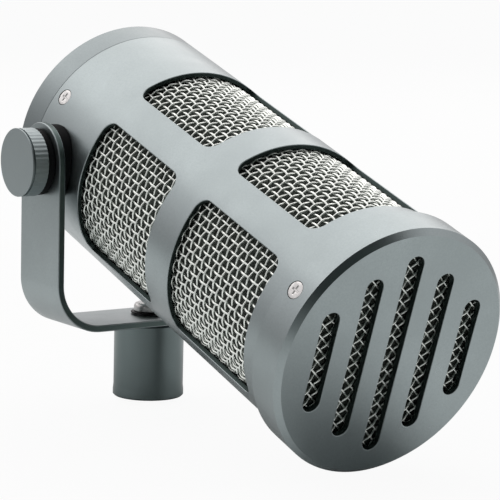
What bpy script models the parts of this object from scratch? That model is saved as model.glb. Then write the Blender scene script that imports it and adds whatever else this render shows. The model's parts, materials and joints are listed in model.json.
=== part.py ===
"""End-address microphone: a windowed barrel with a slotted front cap, held by two knobs
in a bent-strip yoke that turns on a threaded stand socket.

Metres, +Z up. The origin is the centre of the socket's lower face. The barrel points to -Y.
"""
import math

import bmesh
import bpy
from mathutils import Matrix, Vector

MM = 0.001

# Fits
CLEARANCE = 0.3 * MM            # gap between pieces that seat on each other
STUD_PLAY = 0.5 * MM            # radial play of the pivot studs and of the socket bolt

# Barrel tube
BARREL_RADIUS = 31.5 * MM
BARREL_WALL = 1.2 * MM
BARREL_LENGTH = 125.1 * MM
REST_TILT = math.radians(18.5)  # nose below the horizontal

# Windows in the barrel, in columns around it and rows along it
WINDOW_COLUMNS = 4
WINDOW_ROWS = 2
WINDOW_ANGLE = math.radians(71.6)
WINDOW_CORNER = 3.5 * MM
WINDOW_REAR_MARGIN = 25.9 * MM
WINDOW_FRONT_MARGIN = 6.3 * MM
WINDOW_ROW_GAP = 11.4 * MM

# Front cap
COLLAR_WALL = 1.45 * MM
COLLAR_LENGTH = 11.2 * MM
COLLAR_EDGE = 0.5 * MM
FACE_THICKNESS = 1.7 * MM
FACE_CHAMFER = 1.4 * MM
SLOT_WIDTH = 4.95 * MM
SLOT_PITCH = 10.65 * MM
SLOT_LENGTHS = (52.8 * MM, 42.2 * MM, 26.4 * MM)   # middle slot, then outwards

# Rear cap
REAR_CAP_LENGTH = 8.25 * MM
REAR_CAP_EDGE = 0.3 * MM
REAR_WALL = 4.0 * MM
REAR_SLEEVE_LENGTH = 20.0 * MM
REAR_SLEEVE_WALL = 4.0 * MM

# Wire mesh and foam behind the windows and the slots
MESH_THICKNESS = 1.0 * MM
FOAM_THICKNESS = 3.0 * MM
FRONT_FOAM_THICKNESS = 5.5 * MM

# Capsule, its rubber rings and its carrier
CARRIER_RADIUS = 20.0 * MM
CARRIER_WALL = 2.5 * MM
CARRIER_FLANGE = 2.0 * MM
RING_WALL = 0.9 * MM
RING_LENGTH = 5.0 * MM
RING_INSET = 2.0 * MM
CAPSULE_LENGTH = 30.0 * MM
CAPSULE_AIR_GAP = 5.0 * MM
CAPSULE_PROUD = 8.0 * MM
CAPSULE_RIM = 1.0 * MM
GRILLE_THICKNESS = 1.0 * MM
GRILLE_HOLE_RADIUS = 1.8 * MM
GRILLE_HOLE_CIRCLE = 8.0 * MM
GRILLE_HOLES = 6

# Output transformer and its board
BOARD_THICKNESS = 1.6 * MM
TRANSFORMER_SIDE = 20.0 * MM
TRANSFORMER_HEIGHT = 22.0 * MM
TRANSFORMER_EDGE = 1.5 * MM

# Three-pin connector in the rear cap
SHELL_BORE_RADIUS = 8.2 * MM
SHELL_WALL = 1.3 * MM
SHELL_RECESS = 0.3 * MM
SHELL_FLANGE_WIDTH = 3.0 * MM
SHELL_FLANGE_THICKNESS = 2.0 * MM
SOCKET_DEPTH = 15.0 * MM
INSERT_THICKNESS = 3.5 * MM
PIN_RADIUS = 1.2 * MM
PIN_CIRCLE = 4.0 * MM
PIN_RECESS = 3.0 * MM
PIN_COUNT = 3
PIN_TIP = 0.5 * MM

# Countersunk cross-head screws, one set for each cap
SCREW_HEAD_RADIUS = 2.2 * MM
SCREW_HEAD_DEPTH = 1.2 * MM
SCREW_SHANK_RADIUS = 1.25 * MM
SCREW_SINK = 0.1 * MM
SCREW_CROSS_LENGTH = 2.6 * MM
SCREW_CROSS_WIDTH = 0.6 * MM
SCREW_CROSS_DEPTH = 0.7 * MM
SCREW_COUNT = 3
FIRST_SCREW_ANGLE = math.radians(30.0)
FRONT_SCREW_SETBACK = 4.7 * MM
REAR_SCREW_SETBACK = 3.85 * MM

# Pivot between the barrel and the yoke
PIVOT_FROM_SEAM = 10.85 * MM
STUD_RADIUS = 2.9 * MM
STUD_SEAT_DEPTH = 3.0 * MM
BUSH_WALL = 1.8 * MM
SPACER_THICKNESS = 1.5 * MM
SPACER_RADIUS = 10.0 * MM
WASHER_THICKNESS = 1.8 * MM
WASHER_RADIUS = 9.0 * MM

# Knobs
KNOB_RADIUS = 9.25 * MM
KNOB_LENGTH = 4.8 * MM
KNOB_LIP = 0.3 * MM
KNOB_GROOVE = 0.6 * MM
KNOB_GROOVE_DEPTH = 0.5 * MM
KNOB_EDGE = 0.15 * MM
KNURL_RIDGES = 36
KNURL_DEPTH = 0.25 * MM

# Yoke strip
STRIP_WIDTH = 21.3 * MM
STRIP_THICKNESS = 1.9 * MM
STRIP_BEND_RADIUS = 13.5 * MM
UNDER_BARREL_GAP = 12.9 * MM    # free height between the strip and the level barrel

# Stand socket and the bolt that holds the yoke on it
SOCKET_RADIUS = 10.0 * MM
SOCKET_LENGTH = 21.0 * MM
SOCKET_BORE_RADIUS = 7.7 * MM
SOCKET_BORE_DEPTH = 13.5 * MM
SOCKET_EDGE = 0.4 * MM
BOLT_RADIUS = 2.9 * MM
BOLT_END_GAP = 1.0 * MM
BOLT_HEAD_RADIUS = 4.4 * MM
BOLT_HEAD_HEIGHT = 2.2 * MM
BOLT_HEX_RADIUS = 2.2 * MM
BOLT_HEX_DEPTH = 1.3 * MM
BOLT_WASHER_RADIUS = 5.2 * MM
BOLT_WASHER_THICKNESS = 0.5 * MM

# Facets of round pieces
BARREL_STEPS = 60
INNER_STEPS = 24
SMALL_STEPS = 16
CORNER_STEPS = 4
BEND_STEPS = 8
WINDOW_STEPS = 8
OVERCUT = 1.0 * MM              # how far a cutter runs past the face that it opens
MERGE = 0.00001 * MM

# Places along the barrel axis, from the seam between the barrel and the rear cap
DISC_REAR = BARREL_LENGTH + CLEARANCE
DISC_FRONT = DISC_REAR + MESH_THICKNESS
FACE_REAR = DISC_FRONT + CLEARANCE
FACE_FRONT = FACE_REAR + FACE_THICKNESS
COLLAR_REAR = FACE_FRONT - COLLAR_LENGTH
REAR_CAP_FRONT = -CLEARANCE
REAR_FACE = REAR_CAP_FRONT - REAR_CAP_LENGTH
REAR_WALL_FRONT = REAR_FACE + REAR_WALL
SLEEVE_START = REAR_SLEEVE_LENGTH + CLEARANCE
SLEEVE_END = BARREL_LENGTH
FRONT_FOAM_REAR = SLEEVE_END - FRONT_FOAM_THICKNESS
CAPSULE_FRONT = FRONT_FOAM_REAR - CAPSULE_AIR_GAP
CAPSULE_REAR = CAPSULE_FRONT - CAPSULE_LENGTH
CARRIER_FRONT = CAPSULE_FRONT - CAPSULE_PROUD
SHELL_REAR = REAR_FACE + SHELL_RECESS
INSERT_REAR = SHELL_REAR + SOCKET_DEPTH
INSERT_FRONT = INSERT_REAR + INSERT_THICKNESS
BOARD_REAR = INSERT_FRONT + CLEARANCE
BOARD_FRONT = BOARD_REAR + BOARD_THICKNESS
FRONT_SCREW_PLACE = COLLAR_REAR + FRONT_SCREW_SETBACK

# Radii inside the barrel
BARREL_BORE = BARREL_RADIUS - BARREL_WALL
COLLAR_BORE = BARREL_RADIUS + CLEARANCE
COLLAR_RADIUS = COLLAR_BORE + COLLAR_WALL
LINER_RADIUS = BARREL_BORE - CLEARANCE
LINER_BORE = LINER_RADIUS - MESH_THICKNESS
FOAM_RADIUS = LINER_BORE - CLEARANCE
REAR_SLEEVE_BORE = LINER_RADIUS - REAR_SLEEVE_WALL
CARRIER_BORE = CARRIER_RADIUS - CARRIER_WALL
RING_RADIUS = CARRIER_BORE - CLEARANCE
RING_BORE = RING_RADIUS - RING_WALL
CAPSULE_RADIUS = RING_BORE - CLEARANCE
SHELL_RADIUS = SHELL_BORE_RADIUS + SHELL_WALL
BUSH_BORE = STUD_RADIUS + CLEARANCE
BUSH_RADIUS = BUSH_BORE + BUSH_WALL
STUD_HOLE_RADIUS = STUD_RADIUS + STUD_PLAY

# Places along the pivot axis, from the middle of the barrel
ARM_INNER = BARREL_RADIUS + SPACER_THICKNESS + 2 * CLEARANCE
ARM_OUTER = ARM_INNER + STRIP_THICKNESS
WASHER_INNER = ARM_OUTER + CLEARANCE
KNOB_INNER = WASHER_INNER + WASHER_THICKNESS + CLEARANCE
STUD_INNER = REAR_SLEEVE_BORE + CLEARANCE
STUD_OUTER = KNOB_INNER + STUD_SEAT_DEPTH

# Heights above the socket's lower face
STRIP_BOTTOM = SOCKET_LENGTH + CLEARANCE
STRIP_TOP = STRIP_BOTTOM + STRIP_THICKNESS
PIVOT_HEIGHT = STRIP_TOP + UNDER_BARREL_GAP + BARREL_RADIUS
BOLT_WASHER_BOTTOM = STRIP_TOP + CLEARANCE
BOLT_HEAD_BOTTOM = BOLT_WASHER_BOTTOM + BOLT_WASHER_THICKNESS + CLEARANCE
BOLT_END = SOCKET_BORE_DEPTH + BOLT_END_GAP

# Finishes: base colour (linear), roughness, metallic
FINISHES = {
    "grey_coat": ((0.27, 0.31, 0.32), 0.36, 0.75),
    "dark_grey_coat": ((0.15, 0.18, 0.18), 0.42, 0.75),
    "bright_wire": ((0.78, 0.77, 0.74), 0.28, 1.0),
    "bright_steel": ((0.72, 0.72, 0.71), 0.25, 1.0),
    "black_foam": ((0.012, 0.012, 0.013), 0.95, 0.0),
    "black_nylon": ((0.015, 0.016, 0.017), 0.55, 0.0),
    "black_steel": ((0.03, 0.03, 0.032), 0.35, 0.9),
    "brass": ((0.75, 0.56, 0.25), 0.3, 1.0),
    "rubber": ((0.02, 0.02, 0.02), 0.8, 0.0),
    "green_board": ((0.02, 0.12, 0.05), 0.5, 0.0),
    "gold_plate": ((0.83, 0.62, 0.24), 0.22, 1.0),
}


def clear_scene():
    for obj in list(bpy.data.objects):
        bpy.data.objects.remove(obj, do_unlink=True)


def finish_material(name, finish):
    """A Principled material of the object's own, with the colour of its finish."""
    colour, roughness, metallic = FINISHES[finish]
    material = bpy.data.materials.new(name)
    material.use_nodes = True
    shader = material.node_tree.nodes["Principled BSDF"]
    shader.inputs["Base Color"].default_value = (*colour, 1.0)
    shader.inputs["Roughness"].default_value = roughness
    shader.inputs["Metallic"].default_value = metallic
    return material


def mesh_from(name, bm):
    """Close seams and poles, turn the faces outwards and make a smooth-shaded mesh."""
    bmesh.ops.remove_doubles(bm, verts=bm.verts, dist=MERGE)
    bmesh.ops.recalc_face_normals(bm, faces=bm.faces)
    mesh = bpy.data.meshes.new(name)
    bm.to_mesh(mesh)
    bm.free()
    mesh.shade_smooth()
    mesh.set_sharp_from_angle(angle=math.radians(30.0))
    return mesh


def axis_empty(name, location, rotation=(0.0, 0.0, 0.0), parent=None):
    empty = bpy.data.objects.new(name, None)
    bpy.context.scene.collection.objects.link(empty)
    empty.location = location
    empty.rotation_euler = rotation
    empty.parent = parent
    return empty


def add_piece(name, bm, finish, parent=None, location=(0.0, 0.0, 0.0), rotation=(0.0, 0.0, 0.0)):
    obj = bpy.data.objects.new(name, mesh_from(name, bm))
    bpy.context.scene.collection.objects.link(obj)
    obj.data.materials.append(finish_material(name, finish))
    obj.parent = parent
    obj.location = location
    obj.rotation_euler = rotation
    return obj


def cut(target, bm):
    """Cut the closed bodies in bm, given in the target's own coordinates, out of the target."""
    cutter = bpy.data.objects.new(target.name + "_cutter", mesh_from(target.name + "_cutter", bm))
    bpy.context.scene.collection.objects.link(cutter)
    cutter.parent = target
    cutter.hide_render = True
    cutter.display_type = "WIRE"
    modifier = target.modifiers.new("cut", "BOOLEAN")
    modifier.operation = "DIFFERENCE"
    modifier.solver = "EXACT"
    modifier.object = cutter


def merge_into(bm, part, place):
    """Move the geometry of part by the matrix place and add it to bm."""
    bmesh.ops.remove_doubles(part, verts=part.verts, dist=MERGE)
    bmesh.ops.transform(part, matrix=place, verts=part.verts)
    bmesh.ops.recalc_face_normals(part, faces=part.faces)
    mesh = bpy.data.meshes.new("part")
    part.to_mesh(mesh)
    part.free()
    bm.from_mesh(mesh)
    bpy.data.meshes.remove(mesh)


def turn(bm, profile, steps, place=Matrix()):
    """Turn a profile of (radius, height) points about Z; it closes itself unless it ends on the axis."""
    part = bmesh.new()
    verts = [part.verts.new((radius, 0.0, height)) for radius, height in profile]
    for start, end in zip(verts, verts[1:]):
        part.edges.new((start, end))
    if profile[0][0] > 0.0:
        part.edges.new((verts[-1], verts[0]))
    bmesh.ops.spin(
        part, geom=part.verts[:] + part.edges[:], cent=(0, 0, 0), axis=(0, 0, 1),
        angle=math.tau, steps=steps, use_merge=True, use_duplicate=False)
    merge_into(bm, part, place)


def rod(bm, radius, bottom, top, steps, place=Matrix()):
    turn(bm, [(0.0, top), (radius, top), (radius, bottom), (0.0, bottom)], steps, place)


def tube_profile(radius, bore, bottom, top):
    return [(radius, top), (radius, bottom), (bore, bottom), (bore, top)]


def plate(outline, cuts=()):
    """A flat face from (u, v) points, sliced across u at each of the cuts."""
    part = bmesh.new()
    part.faces.new([part.verts.new((u, v, 0.0)) for u, v in outline])
    for place in cuts:
        bmesh.ops.bisect_plane(
            part, geom=part.verts[:] + part.edges[:] + part.faces[:], dist=MERGE,
            plane_co=(place, 0.0, 0.0), plane_no=(1.0, 0.0, 0.0))
    return part


def thicken(part, depth):
    """Extrude a flat plate along Z into a closed solid."""
    grown = bmesh.ops.extrude_face_region(part, geom=part.faces[:])["geom"]
    moved = [item for item in grown if isinstance(item, bmesh.types.BMVert)]
    bmesh.ops.translate(part, verts=moved, vec=(0.0, 0.0, depth))


def prism(bm, outline, bottom, top, place=Matrix()):
    part = plate(outline)
    thicken(part, top - bottom)
    merge_into(bm, part, place @ Matrix.Translation((0.0, 0.0, bottom)))


def arc_points(centre, radius, start, end, steps):
    points = []
    for index in range(steps + 1):
        angle = start + (end - start) * index / steps
        points.append((centre[0] + radius * math.cos(angle), centre[1] + radius * math.sin(angle)))
    return points


def rounded_rectangle(width, height, corner):
    points = []
    for quarter, (side_u, side_v) in enumerate(((1, 1), (-1, 1), (-1, -1), (1, -1))):
        centre = (side_u * (width / 2 - corner), side_v * (height / 2 - corner))
        start = quarter * math.pi / 2
        points += arc_points(centre, corner, start, start + math.pi / 2, CORNER_STEPS)
    return points


def stadium(length, width):
    """A bar along u with round ends, length measured over the ends."""
    radius = width / 2
    reach = length / 2 - radius
    right = arc_points((reach, 0.0), radius, -math.pi / 2, math.pi / 2, 2 * CORNER_STEPS)
    left = arc_points((-reach, 0.0), radius, math.pi / 2, 3 * math.pi / 2, 2 * CORNER_STEPS)
    return right + left


def cross_outline(length, width):
    half, arm = width / 2, length / 2
    corners = [(arm, -half), (arm, half), (half, half), (half, arm), (-half, arm), (-half, half)]
    return corners + [(-u, -v) for u, v in corners]


def facing(side):
    """Rotation that turns a piece's own Z to the side: +1 for +X, -1 for -X."""
    return (0.0, side * math.pi / 2, 0.0)


def along_x(side=1):
    return Matrix.Rotation(side * math.pi / 2, 4, "Y")


def radial(angle, height):
    """Place a piece's own Z along the barrel's radius at the angle, at a height along the barrel."""
    return Matrix.Translation((0.0, 0.0, height)) @ Matrix.Rotation(angle, 4, "Z") @ along_x()


def screw_angles():
    return [FIRST_SCREW_ANGLE + index * math.tau / SCREW_COUNT for index in range(SCREW_COUNT)]


def pin_places():
    angles = [FIRST_SCREW_ANGLE + index * math.tau / PIN_COUNT for index in range(PIN_COUNT)]
    return [(PIN_CIRCLE * math.cos(angle), PIN_CIRCLE * math.sin(angle)) for angle in angles]


def screw_hole(bm, surface, angle, height):
    """Through hole with a countersink below a round surface of the given radius."""
    head, shank = SCREW_HEAD_RADIUS + CLEARANCE, SCREW_SHANK_RADIUS + CLEARANCE
    top = surface - SCREW_SINK
    profile = [
        (0.0, surface + OVERCUT), (head, surface + OVERCUT), (head, top),
        (shank, top - SCREW_HEAD_DEPTH), (shank, REAR_SLEEVE_BORE - OVERCUT),
        (0.0, REAR_SLEEVE_BORE - OVERCUT)]
    turn(bm, profile, SMALL_STEPS, radial(angle, height))


def window_cutter(bm, middle, bottom, top):
    """A rounded rectangle that is bent round the barrel axis and reaches through its wall."""
    width = WINDOW_ANGLE * BARREL_RADIUS
    outline = rounded_rectangle(width, top - bottom, WINDOW_CORNER)
    cuts = {round(u / MERGE) * MERGE for u, v in outline}
    flat = width - 2 * WINDOW_CORNER
    cuts |= {flat * (index / WINDOW_STEPS - 0.5) for index in range(1, WINDOW_STEPS)}
    part = plate(outline, sorted(cuts))
    thicken(part, BARREL_WALL + 2 * OVERCUT)
    for vert in part.verts:
        angle = middle + vert.co.x / BARREL_RADIUS
        radius = BARREL_BORE - OVERCUT + vert.co.z
        height = vert.co.y + (bottom + top) / 2
        vert.co = Vector((radius * math.cos(angle), radius * math.sin(angle), height))
    merge_into(bm, part, Matrix())


def window_rows():
    """Bottom and top of each row of windows."""
    room = COLLAR_REAR - WINDOW_FRONT_MARGIN - WINDOW_REAR_MARGIN
    length = (room - (WINDOW_ROWS - 1) * WINDOW_ROW_GAP) / WINDOW_ROWS
    starts = [WINDOW_REAR_MARGIN + row * (length + WINDOW_ROW_GAP) for row in range(WINDOW_ROWS)]
    return [(start, start + length) for start in starts]


def barrel_piece(name, bm, finish, tilt_axis):
    """A piece of the tilting barrel, drawn along Z from the seam."""
    return add_piece(name, bm, finish, tilt_axis, (0.0, 0.0, -PIVOT_FROM_SEAM))


def build_barrel_tube(tilt_axis):
    bm = bmesh.new()
    turn(bm, tube_profile(BARREL_RADIUS, BARREL_BORE, 0.0, BARREL_LENGTH), BARREL_STEPS)
    tube = barrel_piece("barrel_tube", bm, "grey_coat", tilt_axis)
    openings = bmesh.new()
    for column in range(WINDOW_COLUMNS):
        for bottom, top in window_rows():
            window_cutter(openings, column * math.tau / WINDOW_COLUMNS, bottom, top)
    for angle in screw_angles():
        screw_hole(openings, BARREL_RADIUS, angle, REAR_SCREW_SETBACK)
        shank = SCREW_SHANK_RADIUS + CLEARANCE
        rod(openings, shank, BARREL_BORE - OVERCUT, BARREL_RADIUS + OVERCUT, SMALL_STEPS,
            radial(angle, FRONT_SCREW_PLACE))
    for angle in (0.0, math.pi):
        rod(openings, STUD_HOLE_RADIUS, BARREL_BORE - OVERCUT, BARREL_RADIUS + OVERCUT, SMALL_STEPS,
            radial(angle, PIVOT_FROM_SEAM))
    cut(tube, openings)


def build_front_cap(tilt_axis):
    bm = bmesh.new()
    turn(bm, [
        (0.0, FACE_FRONT), (COLLAR_RADIUS - FACE_CHAMFER, FACE_FRONT),
        (COLLAR_RADIUS, FACE_FRONT - FACE_CHAMFER), (COLLAR_RADIUS, COLLAR_REAR + COLLAR_EDGE),
        (COLLAR_RADIUS - COLLAR_EDGE, COLLAR_REAR), (COLLAR_BORE, COLLAR_REAR),
        (COLLAR_BORE, FACE_REAR), (0.0, FACE_REAR)], BARREL_STEPS)
    cap = barrel_piece("front_cap", bm, "grey_coat", tilt_axis)
    openings = bmesh.new()
    last = len(SLOT_LENGTHS) - 1
    for index in range(-last, last + 1):
        outline = stadium(SLOT_LENGTHS[abs(index)], SLOT_WIDTH)
        place = Matrix.Translation((index * SLOT_PITCH, 0.0, 0.0)) @ Matrix.Rotation(math.pi / 2, 4, "Z")
        prism(openings, outline, FACE_REAR - OVERCUT, FACE_FRONT + OVERCUT, place)
    for angle in screw_angles():
        screw_hole(openings, COLLAR_RADIUS, angle, FRONT_SCREW_PLACE)
    cut(cap, openings)


def build_rear_cap(tilt_axis):
    bm = bmesh.new()
    hole = SHELL_RADIUS + CLEARANCE
    edge = arc_points(
        (BARREL_RADIUS - REAR_CAP_EDGE, REAR_FACE + REAR_CAP_EDGE), REAR_CAP_EDGE, 0.0, -math.pi / 2, 3)
    turn(bm, [
        (LINER_RADIUS, REAR_SLEEVE_LENGTH), (LINER_RADIUS, REAR_CAP_FRONT),
        (BARREL_RADIUS, REAR_CAP_FRONT), *edge, (hole, REAR_FACE), (hole, REAR_WALL_FRONT),
        (REAR_SLEEVE_BORE, REAR_WALL_FRONT), (REAR_SLEEVE_BORE, REAR_SLEEVE_LENGTH)], BARREL_STEPS)
    cap = barrel_piece("rear_cap", bm, "grey_coat", tilt_axis)
    openings = bmesh.new()
    for angle in screw_angles():
        shank = SCREW_SHANK_RADIUS + CLEARANCE
        rod(openings, shank, REAR_SLEEVE_BORE - OVERCUT, LINER_RADIUS + OVERCUT, SMALL_STEPS,
            radial(angle, REAR_SCREW_SETBACK))
    for angle in (0.0, math.pi):
        rod(openings, BUSH_RADIUS + CLEARANCE, REAR_SLEEVE_BORE - OVERCUT, LINER_RADIUS + OVERCUT,
            SMALL_STEPS, radial(angle, PIVOT_FROM_SEAM))
    cut(cap, openings)


def build_mesh_and_foam(tilt_axis):
    sleeve = bmesh.new()
    turn(sleeve, tube_profile(LINER_RADIUS, LINER_BORE, SLEEVE_START, SLEEVE_END), BARREL_STEPS)
    barrel_piece("mesh_sleeve", sleeve, "bright_wire", tilt_axis)
    disc = bmesh.new()
    rod(disc, BARREL_RADIUS, DISC_REAR, DISC_FRONT, BARREL_STEPS)
    barrel_piece("front_mesh", disc, "bright_wire", tilt_axis)
    liner = bmesh.new()
    bottom = SLEEVE_START + CARRIER_FLANGE + CLEARANCE
    top = FRONT_FOAM_REAR - CLEARANCE
    turn(liner, tube_profile(FOAM_RADIUS, FOAM_RADIUS - FOAM_THICKNESS, bottom, top), INNER_STEPS)
    barrel_piece("foam_liner", liner, "black_foam", tilt_axis)
    pad = bmesh.new()
    rod(pad, FOAM_RADIUS, FRONT_FOAM_REAR, SLEEVE_END, INNER_STEPS)
    barrel_piece("front_foam", pad, "black_foam", tilt_axis)


def build_capsule(tilt_axis):
    carrier = bmesh.new()
    flange_top = SLEEVE_START + CARRIER_FLANGE
    turn(carrier, [
        (CARRIER_RADIUS, CARRIER_FRONT), (CARRIER_RADIUS, flange_top), (FOAM_RADIUS, flange_top),
        (FOAM_RADIUS, SLEEVE_START), (CARRIER_BORE, SLEEVE_START), (CARRIER_BORE, CARRIER_FRONT)],
        INNER_STEPS)
    barrel_piece("carrier_tube", carrier, "black_nylon", tilt_axis)
    ring_places = {
        "shock_ring_rear": CAPSULE_REAR + RING_INSET,
        "shock_ring_front": CARRIER_FRONT - RING_INSET - RING_LENGTH}
    for name, bottom in ring_places.items():
        ring = bmesh.new()
        turn(ring, tube_profile(RING_RADIUS, RING_BORE, bottom, bottom + RING_LENGTH), INNER_STEPS)
        barrel_piece(name, ring, "rubber", tilt_axis)
    case = bmesh.new()
    recess = CAPSULE_RADIUS - CAPSULE_RIM
    floor = CAPSULE_FRONT - GRILLE_THICKNESS - CLEARANCE
    turn(case, [
        (0.0, floor), (recess, floor), (recess, CAPSULE_FRONT), (CAPSULE_RADIUS, CAPSULE_FRONT),
        (CAPSULE_RADIUS, CAPSULE_REAR), (0.0, CAPSULE_REAR)], INNER_STEPS)
    barrel_piece("capsule_case", case, "black_steel", tilt_axis)
    disc = bmesh.new()
    rod(disc, recess - CLEARANCE, CAPSULE_FRONT - GRILLE_THICKNESS, CAPSULE_FRONT, INNER_STEPS)
    grille = barrel_piece("capsule_grille", disc, "brass", tilt_axis)
    holes = bmesh.new()
    for index in range(GRILLE_HOLES):
        turned = Matrix.Rotation(index * math.tau / GRILLE_HOLES, 4, "Z")
        place = turned @ Matrix.Translation((GRILLE_HOLE_CIRCLE, 0.0, 0.0))
        rod(holes, GRILLE_HOLE_RADIUS, CAPSULE_FRONT - GRILLE_THICKNESS - OVERCUT,
            CAPSULE_FRONT + OVERCUT, 2 * CORNER_STEPS, place)
    cut(grille, holes)


def build_connector(tilt_axis):
    shell = bmesh.new()
    flange = REAR_WALL_FRONT + CLEARANCE
    flange_radius = SHELL_RADIUS + SHELL_FLANGE_WIDTH
    turn(shell, [
        (SHELL_RADIUS, INSERT_FRONT), (SHELL_RADIUS, flange + SHELL_FLANGE_THICKNESS),
        (flange_radius, flange + SHELL_FLANGE_THICKNESS), (flange_radius, flange),
        (SHELL_RADIUS, flange), (SHELL_RADIUS, SHELL_REAR), (SHELL_BORE_RADIUS, SHELL_REAR),
        (SHELL_BORE_RADIUS, INSERT_FRONT)], INNER_STEPS)
    barrel_piece("connector_shell", shell, "bright_steel", tilt_axis)
    disc = bmesh.new()
    rod(disc, SHELL_BORE_RADIUS - CLEARANCE, INSERT_REAR, INSERT_FRONT, INNER_STEPS)
    insert = barrel_piece("connector_insert", disc, "black_nylon", tilt_axis)
    sheet = bmesh.new()
    rod(sheet, REAR_SLEEVE_BORE - CLEARANCE, BOARD_REAR, BOARD_FRONT, INNER_STEPS)
    board = barrel_piece("terminal_board", sheet, "green_board", tilt_axis)
    for piece in (insert, board):
        holes = bmesh.new()
        for x, y in pin_places():
            rod(holes, PIN_RADIUS + CLEARANCE, INSERT_REAR - OVERCUT, BOARD_FRONT + OVERCUT,
                SMALL_STEPS, Matrix.Translation((x, y, 0.0)))
        cut(piece, holes)
    tip = SHELL_REAR + PIN_RECESS
    for number, (x, y) in enumerate(pin_places(), start=1):
        pin = bmesh.new()
        turn(pin, [
            (0.0, BOARD_FRONT), (PIN_RADIUS, BOARD_FRONT), (PIN_RADIUS, tip + PIN_TIP),
            (PIN_RADIUS - PIN_TIP, tip), (0.0, tip)], 2 * CORNER_STEPS, Matrix.Translation((x, y, 0.0)))
        barrel_piece(f"connector_pin_{number}", pin, "gold_plate", tilt_axis)
    core = bmesh.new()
    outline = rounded_rectangle(TRANSFORMER_SIDE, TRANSFORMER_SIDE, TRANSFORMER_EDGE)
    bottom = BOARD_FRONT + CLEARANCE
    prism(core, outline, bottom, bottom + TRANSFORMER_HEIGHT)
    barrel_piece("transformer", core, "black_steel", tilt_axis)


def build_screws(tilt_axis):
    sets = {
        "front_screw": (COLLAR_RADIUS, FRONT_SCREW_PLACE, BARREL_BORE + CLEARANCE),
        "rear_screw": (BARREL_RADIUS, REAR_SCREW_SETBACK, STUD_INNER)}
    for name, (surface, height, end) in sets.items():
        for number, angle in enumerate(screw_angles(), start=1):
            bm = bmesh.new()
            top = surface - SCREW_SINK
            turn(bm, [
                (0.0, top), (SCREW_HEAD_RADIUS, top), (SCREW_SHANK_RADIUS, top - SCREW_HEAD_DEPTH),
                (SCREW_SHANK_RADIUS, end), (0.0, end)], SMALL_STEPS)
            screw = add_piece(
                f"{name}_{number}", bm, "bright_steel", tilt_axis,
                (0.0, 0.0, height - PIVOT_FROM_SEAM), (0.0, math.pi / 2, angle))
            recess = bmesh.new()
            outline = cross_outline(SCREW_CROSS_LENGTH, SCREW_CROSS_WIDTH)
            prism(recess, outline, top - SCREW_CROSS_DEPTH, top + OVERCUT)
            cut(screw, recess)


def build_pivot(name, side, tilt_axis):
    """Bush in the rear cap and spacer against the yoke arm, on one side of the barrel."""
    bush = bmesh.new()
    reach = math.sqrt(LINER_RADIUS ** 2 - BUSH_RADIUS ** 2)
    turn(bush, tube_profile(BUSH_RADIUS, BUSH_BORE, STUD_INNER, reach), SMALL_STEPS)
    add_piece(f"pivot_bush_{name}", bush, "brass", tilt_axis, rotation=facing(side))
    spacer = bmesh.new()
    turn(spacer, tube_profile(
        SPACER_RADIUS, STUD_HOLE_RADIUS, BARREL_BORE, ARM_INNER - CLEARANCE), INNER_STEPS)
    saddle = add_piece(f"pivot_spacer_{name}", spacer, "black_nylon", tilt_axis, rotation=facing(side))
    barrel = bmesh.new()
    reach = SPACER_RADIUS + OVERCUT
    rod(barrel, COLLAR_BORE, -reach, reach, BARREL_STEPS, along_x())
    cut(saddle, barrel)


def knurl(bm, bottom, top):
    """Press every second column of the points between two heights inwards."""
    columns = 2 * KNURL_RIDGES
    for vert in bm.verts:
        column = round(math.atan2(vert.co.y, vert.co.x) / math.tau * columns)
        on_side = math.hypot(vert.co.x, vert.co.y) > KNOB_RADIUS - KNURL_DEPTH
        if on_side and bottom - MERGE < vert.co.z < top + MERGE and column % 2:
            vert.co.xy *= (KNOB_RADIUS - KNURL_DEPTH) / KNOB_RADIUS


def build_knob(name, side, knob_axis):
    outer = KNOB_INNER + KNOB_LENGTH
    groove_top = outer - KNOB_LIP
    groove_bottom = groove_top - KNOB_GROOVE
    groove_radius = KNOB_RADIUS - KNOB_GROOVE_DEPTH
    bm = bmesh.new()
    turn(bm, [
        (0.0, outer), (KNOB_RADIUS - KNOB_EDGE, outer), (KNOB_RADIUS, outer - KNOB_EDGE),
        (KNOB_RADIUS, groove_top), (groove_radius, groove_top), (groove_radius, groove_bottom),
        (KNOB_RADIUS, groove_bottom), (KNOB_RADIUS, KNOB_INNER), (0.0, KNOB_INNER)], 2 * KNURL_RIDGES)
    knurl(bm, KNOB_INNER, groove_bottom)
    knob = add_piece(f"knob_{name}", bm, "grey_coat", knob_axis, rotation=facing(side))
    seat = bmesh.new()
    rod(seat, STUD_RADIUS + CLEARANCE, KNOB_INNER - OVERCUT, STUD_OUTER + CLEARANCE, SMALL_STEPS)
    cut(knob, seat)
    stud = bmesh.new()
    rod(stud, STUD_RADIUS, STUD_INNER, STUD_OUTER, SMALL_STEPS)
    add_piece(f"knob_stud_{name}", stud, "bright_steel", knob_axis, rotation=facing(side))


def bend_to_yoke(part, half_base, arc):
    """Bend a flat strip, drawn along X with its outer side at z = 0, up into a U."""
    for vert in part.verts:
        side = math.copysign(1.0, vert.co.x)
        run, across, depth = abs(vert.co.x), vert.co.y, vert.co.z
        inner = STRIP_BEND_RADIUS - depth
        if run <= half_base:
            x, z = run, depth
        elif run <= half_base + arc:
            angle = (run - half_base) / STRIP_BEND_RADIUS
            x = half_base + inner * math.sin(angle)
            z = STRIP_BEND_RADIUS - inner * math.cos(angle)
        else:
            x = half_base + inner
            z = STRIP_BEND_RADIUS + run - half_base - arc
        vert.co = Vector((side * x, across, STRIP_BOTTOM + z))


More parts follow.
